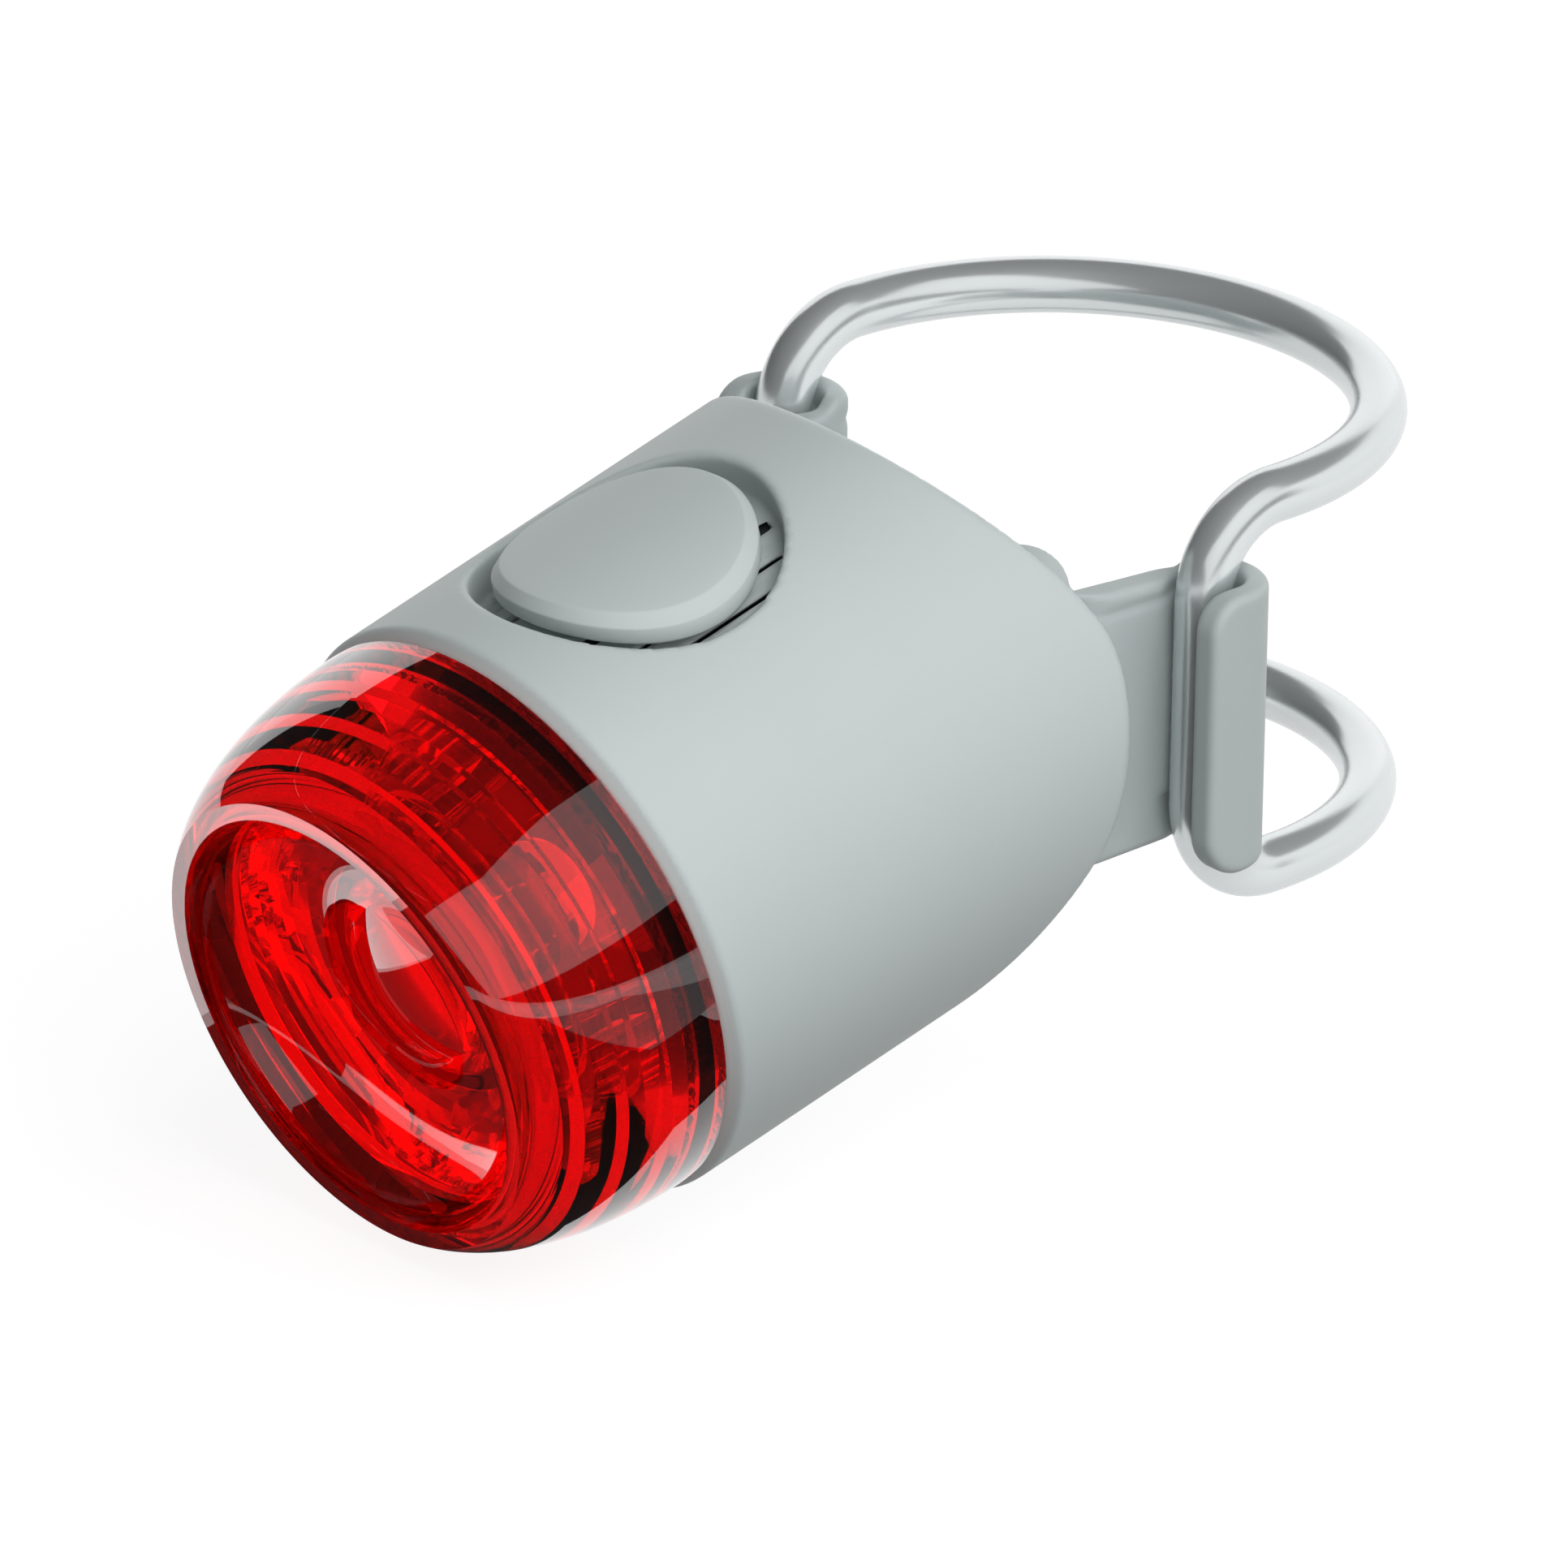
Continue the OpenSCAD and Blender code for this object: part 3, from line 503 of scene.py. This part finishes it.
soft, stem_round, low_round = 0.05, 0.12, 0.15
chamfer_r, chamfer_crown = cap_r - cap_chamfer, cap_top_r - cap_chamfer
cap_rim = (
    (cap_r - 0.04, cap_low_r + 0.05),
    (cap_r, cap_low_r + low_round),
    (cap_r, chamfer_crown - soft),
    (cap_r - 0.02, chamfer_crown + 0.02),
    (cap_r - soft, chamfer_crown + soft),
    (chamfer_r + 0.04, cap_top_r - 0.04),
    (chamfer_r - 0.01, cap_top_r - 0.008),
    (chamfer_r - 0.07, cap_top_r),
)
cap_rings = [cap_ring(stem_r * f, height=stem_end) for f in (0.5, 0.94)]
cap_rings += [cap_ring(stem_r, height=stem_end + stem_round), cap_ring(stem_r, crown=cap_low_r)]
cap_rings += [cap_ring(r, crown=cap_low_r) for r in np.linspace(stem_r + 0.4, cap_r - low_round, 6)]
cap_rings += [cap_ring(r, crown=crown) for r, crown in cap_rim]
cap_rings += [cap_ring(r, crown=cap_top_r) for r in np.linspace(chamfer_r - 0.5, 0.4, 12)]
cap_points, cap_faces = stack_rings(cap_rings, (0, button_s, stem_end), (0, button_s, cap_top_r))
cap = piece("button", to_row(cap_points), cap_faces, body_silicone)
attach(cap, "button")
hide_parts("button_cap")

# Port cover. A silicone flap on the far side that closes the charging port; it turns on the roll
# along its lower edge, and a plug on its inner side seals the tunnel.
cover_half_l, cover_top_z, cover_in_r, roll_r = 6.45, 6.75, 13.5, 0.7
plug_half_l, plug_half_h, plug_in_r, plug_root = 4.67, 1.9, 12.8, 0.2
flap_corner, flap_round, flap_in_round, roll_round = 0.7, 0.2, 0.15, 0.25
plug_corner, plug_round, inner_corner = 0.7, 0.2, 0.1


def cover_depth(p):
    """Depth in the flap, its roll and its plug at points of the body frame, negative inside them."""
    x, s, z = p[:, 0], p[:, 1], p[:, 2]
    radius = np.hypot(x, z)
    mid, half_h = (roll_z - 1 + cover_top_z) / 2, (cover_top_z - roll_z + 1) / 2
    outline = rounded_panel(s - port_s, z - mid, cover_half_l, half_h, flap_corner)
    flap = meet(meet(outline, radius - body_r, flap_round), cover_in_r - radius, flap_in_round)
    flap = np.maximum(np.maximum(flap, roll_z - z), x)
    flap = meet(flap, np.hypot(x - roll_x, z - roll_z) - cover_top_z + roll_z, flap_in_round)
    roll = meet(np.hypot(x - roll_x, z - roll_z) - roll_r, np.abs(s - port_s) - cover_half_l, roll_round)
    plug = rounded_panel(s - port_s, z - port_z, plug_half_l, plug_half_h, plug_corner)
    plug = meet(plug, plug_in_r - radius, plug_round)
    plug = np.maximum(plug, np.maximum(radius - cover_in_r - plug_root, x))
    return join(join(flap, roll, inner_corner), plug, inner_corner)


cover_points, cover_quads = wrap(cover_depth, (-15, 4.5, 0), (-10, 18, 7), 0.12)
cover = piece("port_flap", to_row(cover_points), cover_quads, body_silicone)
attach(cover, "cover")
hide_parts("port_cover")

# Red lens. Clear red moulded plastic, polished: a dome with a flat ring in front, a deep bowl inside it with
# a bulging eye in its floor, grooves moulded round its hollow back, and a skirt that plugs into the body.
lens_r, lens_len, ring_r, bowl_r, floor_r = 14.7, 10.2, 11.85, 10.98, 5.5
dome_core_r, bowl_depth, lens_wall = 9.5, 4.3, 1.6
skirt_ro, skirt_ri, skirt_len, cavity_from = 12.5, 11.4, 3.0, math.radians(28.5)
dome_end = math.acos((ring_r - dome_core_r) / (lens_r - dome_core_r))
dome_len = lens_len / math.sin(dome_end)
back_r, back_h = (skirt_ri - floor_r) / math.cos(cavity_from), bowl_depth + lens_wall
eye_r, eye_rise, rim_bevel = 4.4, 0.9, 0.15
groove_starts, groove_w, groove_depth, groove_draft = (-0.6, -3.0, -5.4), 1.2, 0.6, 0.3


def sweep(centre, rx, ry, start, end, steps):
    """Points of an elliptic arc in a profile of radius and distance behind the front edge."""
    angles = np.linspace(start, end, steps)
    return [(centre[0] + rx * math.cos(a), centre[1] + ry * math.sin(a)) for a in angles]


def turned(name, profile, material, segments=192, sharp=30):
    """A piece turned about the body's axis from a profile that starts and ends on it."""
    angles = np.linspace(0, 2 * math.pi, segments, endpoint=False)
    rings = [
        np.stack([r * np.cos(angles), np.full(segments, s), r * np.sin(angles)], 1)
        for r, s in profile[1:-1]
    ]
    points, faces = stack_rings(rings, (0, profile[0][1], 0), (0, profile[-1][1], 0))
    return piece(name, to_row(points), faces, material, sharp)


def clear_plastic(name, colour, ior, roughness, ripple_mm, hard_coat=0.0, wave_mm=3.5):
    """Polished clear plastic with a very faint moulding ripple."""
    material = bpy.data.materials.new(name)
    material.use_nodes = True
    nodes, links = material.node_tree.nodes, material.node_tree.links
    shader = nodes["Principled BSDF"]
    shader.inputs["Base Color"].default_value = (*colour, 1.0)
    shader.inputs["Transmission Weight"].default_value = 1.0
    shader.inputs["IOR"].default_value = ior
    shader.inputs["Coat Weight"].default_value = hard_coat
    shader.inputs["Roughness"].default_value = roughness
    where, ripple = nodes.new("ShaderNodeTexCoord"), nodes.new("ShaderNodeTexNoise")
    bump = nodes.new("ShaderNodeBump")
    ripple.inputs["Scale"].default_value = 1 / (wave_mm * MM)
    bump.inputs["Distance"].default_value = ripple_mm * MM
    links.new(where.outputs["Object"], ripple.inputs["Vector"])
    links.new(ripple.outputs["Fac"], bump.inputs["Height"])
    links.new(bump.outputs["Normal"], shader.inputs["Normal"])
    return material


red_lens = clear_plastic("red_lens", (1.0, 0.001, 0.002), 1.586, 0.0, 0.002, hard_coat=0.7)
floor_front, floor_back = bowl_depth - lens_len, bowl_depth + lens_wall - lens_len
lens_profile = [(r, floor_front - eye_rise * (1 - (r / eye_r) ** 2)) for r in np.linspace(0, eye_r, 14)]
lens_profile += sweep((floor_r, -lens_len), bowl_r - floor_r, bowl_depth, math.pi / 2, 0, 28)
lens_profile += sweep((dome_core_r, 0), lens_r - dome_core_r, -dome_len, dome_end, 0, 40)
lens_profile += [(lens_r, lip_set_back - rim_bevel), (lens_r - rim_bevel, lip_set_back)]
lens_profile += [(skirt_ro, lip_set_back), (skirt_ro, skirt_len), (skirt_ri, skirt_len)]
for groove in groove_starts:
    lens_profile += [(skirt_ri, groove), (skirt_ri + groove_depth, groove - groove_draft)]
    lens_profile += [(skirt_ri + groove_depth, groove - groove_w), (skirt_ri, groove - groove_w)]
lens_profile += sweep((floor_r, -lens_len), back_r, back_h, cavity_from, math.pi / 2, 24)
lens_profile += [(r, floor_back) for r in (3.5, 1.5, 0)]
lens = turned("red_lens", lens_profile, red_lens)
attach(lens, "light")
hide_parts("lens")

# Painted shade ring. A thin black ribbed sleeve between the light guide and the lens's skirt. It is no part
# of the light:
# its black stands in for the dark shade seen through the lens, so it is painted shade.
shade_ring_r, shade_ring_t, shade_ring_front, shade_ring_back = 11.25, 0.05, -1.8, 2.9
rib_count, rib_w, rib_rise = 180, 0.16, 0.05


def collar(name, profile, material, segments=192):
    """A ring turned about the body's axis from a closed profile of radius and distance."""
    angles = np.linspace(0, 2 * math.pi, segments, endpoint=False)
    n = len(profile)
    points = [(r * math.cos(a), s, r * math.sin(a)) for a in angles for r, s in profile]
    faces = []
    for i in range(segments):
        for k in range(n):
            here, there = i * n, (i + 1) % segments * n
            faces.append((here + k, here + (k + 1) % n, there + (k + 1) % n, there + k))
    return piece(name, to_row(np.array(points)), faces, material, sharp=30)


def ring_of_bars(material):
    """Geometry Nodes that add bars round the sleeve, each along the body's axis."""
    group = bpy.data.node_groups.new("ring_of_bars", "GeometryNodeTree")
    group.interface.new_socket("Geometry", in_out="INPUT", socket_type="NodeSocketGeometry")
    group.interface.new_socket("Bars", in_out="INPUT", socket_type="NodeSocketInt")
    group.interface.new_socket("Ring Radius", in_out="INPUT", socket_type="NodeSocketFloat")
    for name in ("Bar Size", "Centre", "Turn"):
        group.interface.new_socket(name, in_out="INPUT", socket_type="NodeSocketVector")
    group.interface.new_socket("Geometry", in_out="OUTPUT", socket_type="NodeSocketGeometry")
    nodes, links = group.nodes, group.links
    given, out = nodes.new("NodeGroupInput"), nodes.new("NodeGroupOutput")
    circle, bar = nodes.new("GeometryNodeMeshCircle"), nodes.new("GeometryNodeMeshCube")
    place, where = nodes.new("GeometryNodeInstanceOnPoints"), nodes.new("GeometryNodeInputPosition")
    outwards = nodes.new("FunctionNodeAlignRotationToVector")
    solid = nodes.new("GeometryNodeRealizeInstances")
    seat, both = nodes.new("GeometryNodeTransform"), nodes.new("GeometryNodeJoinGeometry")
    coat = nodes.new("GeometryNodeSetMaterial")
    coat.inputs["Material"].default_value = material
    outwards.axis = "X"
    links.new(given.outputs["Bars"], circle.inputs["Vertices"])
    links.new(given.outputs["Ring Radius"], circle.inputs["Radius"])
    links.new(given.outputs["Bar Size"], bar.inputs["Size"])
    links.new(where.outputs["Position"], outwards.inputs["Vector"])
    links.new(circle.outputs["Mesh"], place.inputs["Points"])
    links.new(bar.outputs["Mesh"], place.inputs["Instance"])
    links.new(outwards.outputs["Rotation"], place.inputs["Rotation"])
    links.new(place.outputs["Instances"], solid.inputs["Geometry"])
    links.new(solid.outputs["Geometry"], seat.inputs["Geometry"])
    links.new(given.outputs["Centre"], seat.inputs["Translation"])
    links.new(given.outputs["Turn"], seat.inputs["Rotation"])
    links.new(seat.outputs["Geometry"], both.inputs["Geometry"])
    links.new(given.outputs["Geometry"], both.inputs["Geometry"])
    links.new(both.outputs["Geometry"], coat.inputs["Geometry"])
    links.new(coat.outputs["Geometry"], out.inputs["Geometry"])
    return group


def grown(maker, group, name, **sizes):
    """Runs a Geometry Nodes group on an object and keeps the result as a plain mesh piece."""
    modifier = maker.modifiers.new("nodes", "NODES")
    modifier.node_group = group
    for item in group.interface.items_tree:
        if item.item_type == "SOCKET" and item.in_out == "INPUT" and item.name in sizes:
            modifier[item.identifier] = sizes[item.name]
    ready = maker.evaluated_get(bpy.context.evaluated_depsgraph_get())
    mesh = bpy.data.meshes.new_from_object(ready)
    maker.modifiers.remove(modifier)
    bpy.data.objects.remove(maker)
    made = bpy.data.objects.new(name, mesh)
    bpy.context.collection.objects.link(made)
    return made


# Near-black colour of the ring inside the lens: painted shade, a dark sheet put where the lens shows only
# shade.
painted_shade_film = moulded("painted_shade_film", (0.012, 0.011, 0.011), 0.5)
shade_ring_wall = [(shade_ring_r, shade_ring_front), (shade_ring_r + shade_ring_t, shade_ring_front)]
shade_ring_wall += [(shade_ring_r + shade_ring_t, shade_ring_back), (shade_ring_r, shade_ring_back)]
shade_ring_mid = to_row(np.array([(0.0, (shade_ring_front + shade_ring_back) / 2, 0.0)]))[0] * MM
# The ribbed black ring inside the lens is painted shade, not a part of the light.
shade_ring = grown(collar("shade_ring_wall", shade_ring_wall, painted_shade_film), ring_of_bars(painted_shade_film), "painted_shade_ring", **{
    "Bars": rib_count, "Ring Radius": (shade_ring_r + shade_ring_t) * MM, "Centre": tuple(shade_ring_mid),
    "Bar Size": (rib_rise * MM, rib_w * MM, (shade_ring_back - shade_ring_front) * MM),
    "Turn": (tilt - math.pi / 2, 0.0, 0.0),
})
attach(shade_ring, "light")

# Light guide, centre optic, boards and the rest of the inside. Bought parts and small mouldings,
# as the part's source shapes them; the lens shows the front ones.
inside_finish = {
    "lens_gasket": moulded("black_rubber", (0.02, 0.02, 0.022), 0.6),
    "light_guide": clear_plastic("red_guide", (1.0, 0.02, 0.02), 1.49, 0.0, 0.001),
    "centre_optic": clear_plastic("clear_optic", (1.0, 0.3, 0.3), 1.49, 0.0, 0.001),
    "led_board": moulded("white_board", (0.85, 0.85, 0.82), 0.4),
    "leds": moulded("led_yellow", (0.85, 0.62, 0.2), 0.3),
    "led_board_screws": moulded("small_steel", (0.6, 0.6, 0.6), 0.25, plain=(("Metallic", 1.0),)),
    "inner_case": moulded("black_plastic", (0.03, 0.032, 0.034), 0.45),
    "main_board": moulded("green_board", (0.02, 0.16, 0.05), 0.35),
    "board_pins": moulded("gold_pins", (0.8, 0.55, 0.2), 0.25, plain=(("Metallic", 1.0),)),
    "battery_cell": moulded("cell_foil", (0.55, 0.58, 0.6), 0.35, plain=(("Metallic", 0.8),)),
    "cell_foam": moulded("grey_foam", (0.07, 0.07, 0.07), 0.85, 0.3, 0.6, 0.3, 0.05),
    "battery_leads": moulded("red_lead", (0.45, 0.02, 0.02), 0.4),
    "switch_plunger": moulded("white_plastic", (0.75, 0.75, 0.73), 0.4),
}
inside_finish["usb_socket"] = inside_finish["led_board_screws"]
for node in ("board_chips", "tact_switch", "usb_tongue"):
    inside_finish[node] = inside_finish["inner_case"]
for node, finish in inside_finish.items():
    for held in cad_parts[node].material_slots:
        held.material = finish

# Strap. Moulded with its two hooks from the same soft silicone: a pad fills the hollow behind the body,
# and straight wings run beside the post to the hooks, whose lips bend outwards.
post_r, pad_half_h, pad_corner, pad_half_angle = 12.7, 8.0, 2.2, math.radians(50.0)
root_half_angle, root_half_h, wing_half_h, hook_half_h = math.radians(63.0), 5.7, 6.65, 7.05
wing_taper, crease_z, crease_w, crease_depth = 0.045, 5.75, 0.25, 0.1
leg_x, leg_y, wing_in, wing_out = 14.8308, -4.33, 11.73, 13.38
curl_mid, curl_half_t, lip_end, lip_corners = 2.2625, 0.8, -6.27, (1.9, 2.1)
bend_top, bend_low, bend_r, notch_r = 5.81, -4.31, 4.33, 1.8
pad_gap, root_inset, flare_y, flare_len, lip_half_l = 0.05, 0.4, -4.0, 1.0, 20.0
pad_round, ribbon_round, notch_round, post_round = 0.4, 0.45, 0.25, 0.3
root_corner, wing_corner = 0.5, 0.35


def strap_depth(p):
    """Depth in the strap at points of the row frame, negative inside it and the same on both sides."""
    x, y, z = np.abs(p[:, 0]), p[:, 1], p[:, 2]
    h = np.abs(z)
    beside_post = post_r - np.hypot(x, y)
    in_saddle = np.hypot(x, y - saddle_y) - saddle_r + pad_gap
    pad_side = x * math.cos(pad_half_angle) + y * math.sin(pad_half_angle)
    pad = meet(np.maximum(meet(h - pad_half_h, pad_side, pad_corner), y), in_saddle, pad_round)
    root_side = x * math.cos(root_half_angle) + y * math.sin(root_half_angle)
    root = np.maximum(np.maximum(in_saddle, root_side), np.maximum(x - wing_out + root_inset, y))
    root = meet(root, h - root_half_h, pad_round)
    mid_x = (wing_in + wing_out) / 2 + curl_mid
    across = np.where(y > leg_y, np.hypot(x - mid_x, y - leg_y), np.abs(x - mid_x))
    crease = np.where(x > mid_x, 0.0, crease_depth * np.exp(-((z - crease_z) / crease_w) ** 2))
    ribbon = np.abs(across - curl_mid) - curl_half_t + crease
    toward = np.clip((y - flare_y) / flare_len, 0, 1)
    toward = np.where(x > mid_x, 1.0, toward * toward * (3 - 2 * toward))
    wing_h = wing_half_h + wing_taper * np.maximum(leg_y - y, 0)
    half_h = wing_h + (hook_half_h - wing_h) * toward
    lip_corner = np.where(z > 0, *lip_corners)
    lip_face = rounded_panel(y - lip_end - lip_half_l, z, lip_half_l, hook_half_h, lip_corner)
    ends = np.where(x > mid_x, lip_face, np.maximum(h - half_h, in_saddle))
    ribbon = meet(ribbon, ends, ribbon_round)
    form = join(join(pad, root, root_corner), ribbon, wing_corner)
    for level, side in ((bend_top, 1), (bend_low, -1)):
        past = np.where(side * (z - level) > 0, np.hypot(y, z - level), -y)
        bend = np.hypot(past - bend_r, x - leg_x) - notch_r
        form = meet(form, -np.maximum(bend, side * (level - z)), notch_round)
    return meet(form, beside_post, post_round)


strap_silicone = moulded("strap_silicone", (0.44, 0.492, 0.488), 0.52, 0.04, 5.0, 0.10, 0.003,
                         (("Sheen Weight", 0.08), ("Sheen Roughness", 0.5), ("IOR", 1.42)))
strap_points, strap_quads = wrap(strap_depth, (-18, -16, -8), (18, -1, 8), 0.2)
for side, hook in ((1, "near"), (-1, "far")):
    half = piece(f"strap_{hook}_half", strap_points, strap_quads, strap_silicone)
    cut = bmesh.new()
    cut.from_mesh(half.data)
    sliced = bmesh.ops.bisect_plane(
        cut, geom=cut.verts[:] + cut.edges[:] + cut.faces[:], plane_co=(0, 0, 0), plane_no=(-side, 0, 0),
        clear_outer=True,
    )
    rim = [e for e in sliced["geom_cut"] if isinstance(e, bmesh.types.BMEdge)]
    for face in bmesh.ops.contextual_create(cut, geom=rim)["faces"]:
        face.smooth = False
    cut.to_mesh(half.data)
    cut.free()
    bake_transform(half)
    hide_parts(*(("strap", "near_lip") if side > 0 else ("far_lip",)))

# Wire clip. One closed loop of polished stainless spring wire, bent cold: two legs that the hooks hold
# and an upper and a lower arch that pass behind the post.
wire_r, wire_sides, arch_top, arch_low = 1.35, 48, 10.14, -8.64
quarter = np.linspace(0, math.pi / 2, 24)
arch = np.linspace(0, math.pi, 120)[1:-1]
near_side = [(leg_x, leg_y, z) for z in np.linspace(bend_low, bend_top, 16)[:-1]]
near_side += [(leg_x, -bend_r * math.cos(a), bend_top + bend_r * math.sin(a)) for a in quarter]
top_arch = [(leg_x * math.cos(a), leg_x * math.sin(a), arch_top) for a in arch]
far_side = [(-x, y, z) for x, y, z in near_side[::-1]]
low_bend = [(leg_x, -bend_r * math.cos(a), bend_low - bend_r * math.sin(a)) for a in quarter[1:]]
low_arch = [(leg_x * math.cos(a), leg_x * math.sin(a), arch_low) for a in arch]
wire_path = near_side + top_arch + far_side
wire_path += [(-x, y, z) for x, y, z in low_bend] + low_arch[::-1] + low_bend[::-1]
route = bpy.data.curves.new("wire_route", "CURVE")
route.dimensions = "3D"
line = route.splines.new("POLY")
line.points.add(len(wire_path) - 1)
line.points.foreach_set("co", [c for p in wire_path for c in (*(v * MM for v in p), 1.0)])
line.use_cyclic_u = True
wire_maker = bpy.data.objects.new("wire_route", route)
bpy.context.collection.objects.link(wire_maker)


def drawn_wire(material):
    """Geometry Nodes that sweep a round section along a route."""
    group = bpy.data.node_groups.new("drawn_wire", "GeometryNodeTree")
    group.interface.new_socket("Geometry", in_out="INPUT", socket_type="NodeSocketGeometry")
    group.interface.new_socket("Wire Radius", in_out="INPUT", socket_type="NodeSocketFloat")
    group.interface.new_socket("Sides", in_out="INPUT", socket_type="NodeSocketInt")
    group.interface.new_socket("Geometry", in_out="OUTPUT", socket_type="NodeSocketGeometry")
    nodes, links = group.nodes, group.links
    given, out = nodes.new("NodeGroupInput"), nodes.new("NodeGroupOutput")
    section, swept = nodes.new("GeometryNodeCurvePrimitiveCircle"), nodes.new("GeometryNodeCurveToMesh")
    smooth, solid = nodes.new("GeometryNodeSetShadeSmooth"), nodes.new("GeometryNodeRealizeInstances")
    coat = nodes.new("GeometryNodeSetMaterial")
    coat.inputs["Material"].default_value = material
    links.new(given.outputs["Geometry"], swept.inputs["Curve"])
    links.new(given.outputs["Wire Radius"], section.inputs["Radius"])
    links.new(given.outputs["Sides"], section.inputs["Resolution"])
    links.new(section.outputs["Curve"], swept.inputs["Profile Curve"])
    links.new(swept.outputs["Mesh"], smooth.inputs["Geometry"])
    links.new(smooth.outputs["Geometry"], solid.inputs["Geometry"])
    links.new(solid.outputs["Geometry"], coat.inputs["Geometry"])
    links.new(coat.outputs["Geometry"], out.inputs["Geometry"])
    return group


polished_wire = moulded("polished_wire", (0.72, 0.755, 0.76), 0.22, 0.04, 3.0, 0.08, 0.0006,
                        (("Metallic", 0.65),))
wire_sizes = {"Wire Radius": wire_r * MM, "Sides": wire_sides}
wire = grown(wire_maker, drawn_wire(polished_wire), "wire_clip_loop", **wire_sizes)
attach(wire, "clip")
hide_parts("wire_clip")
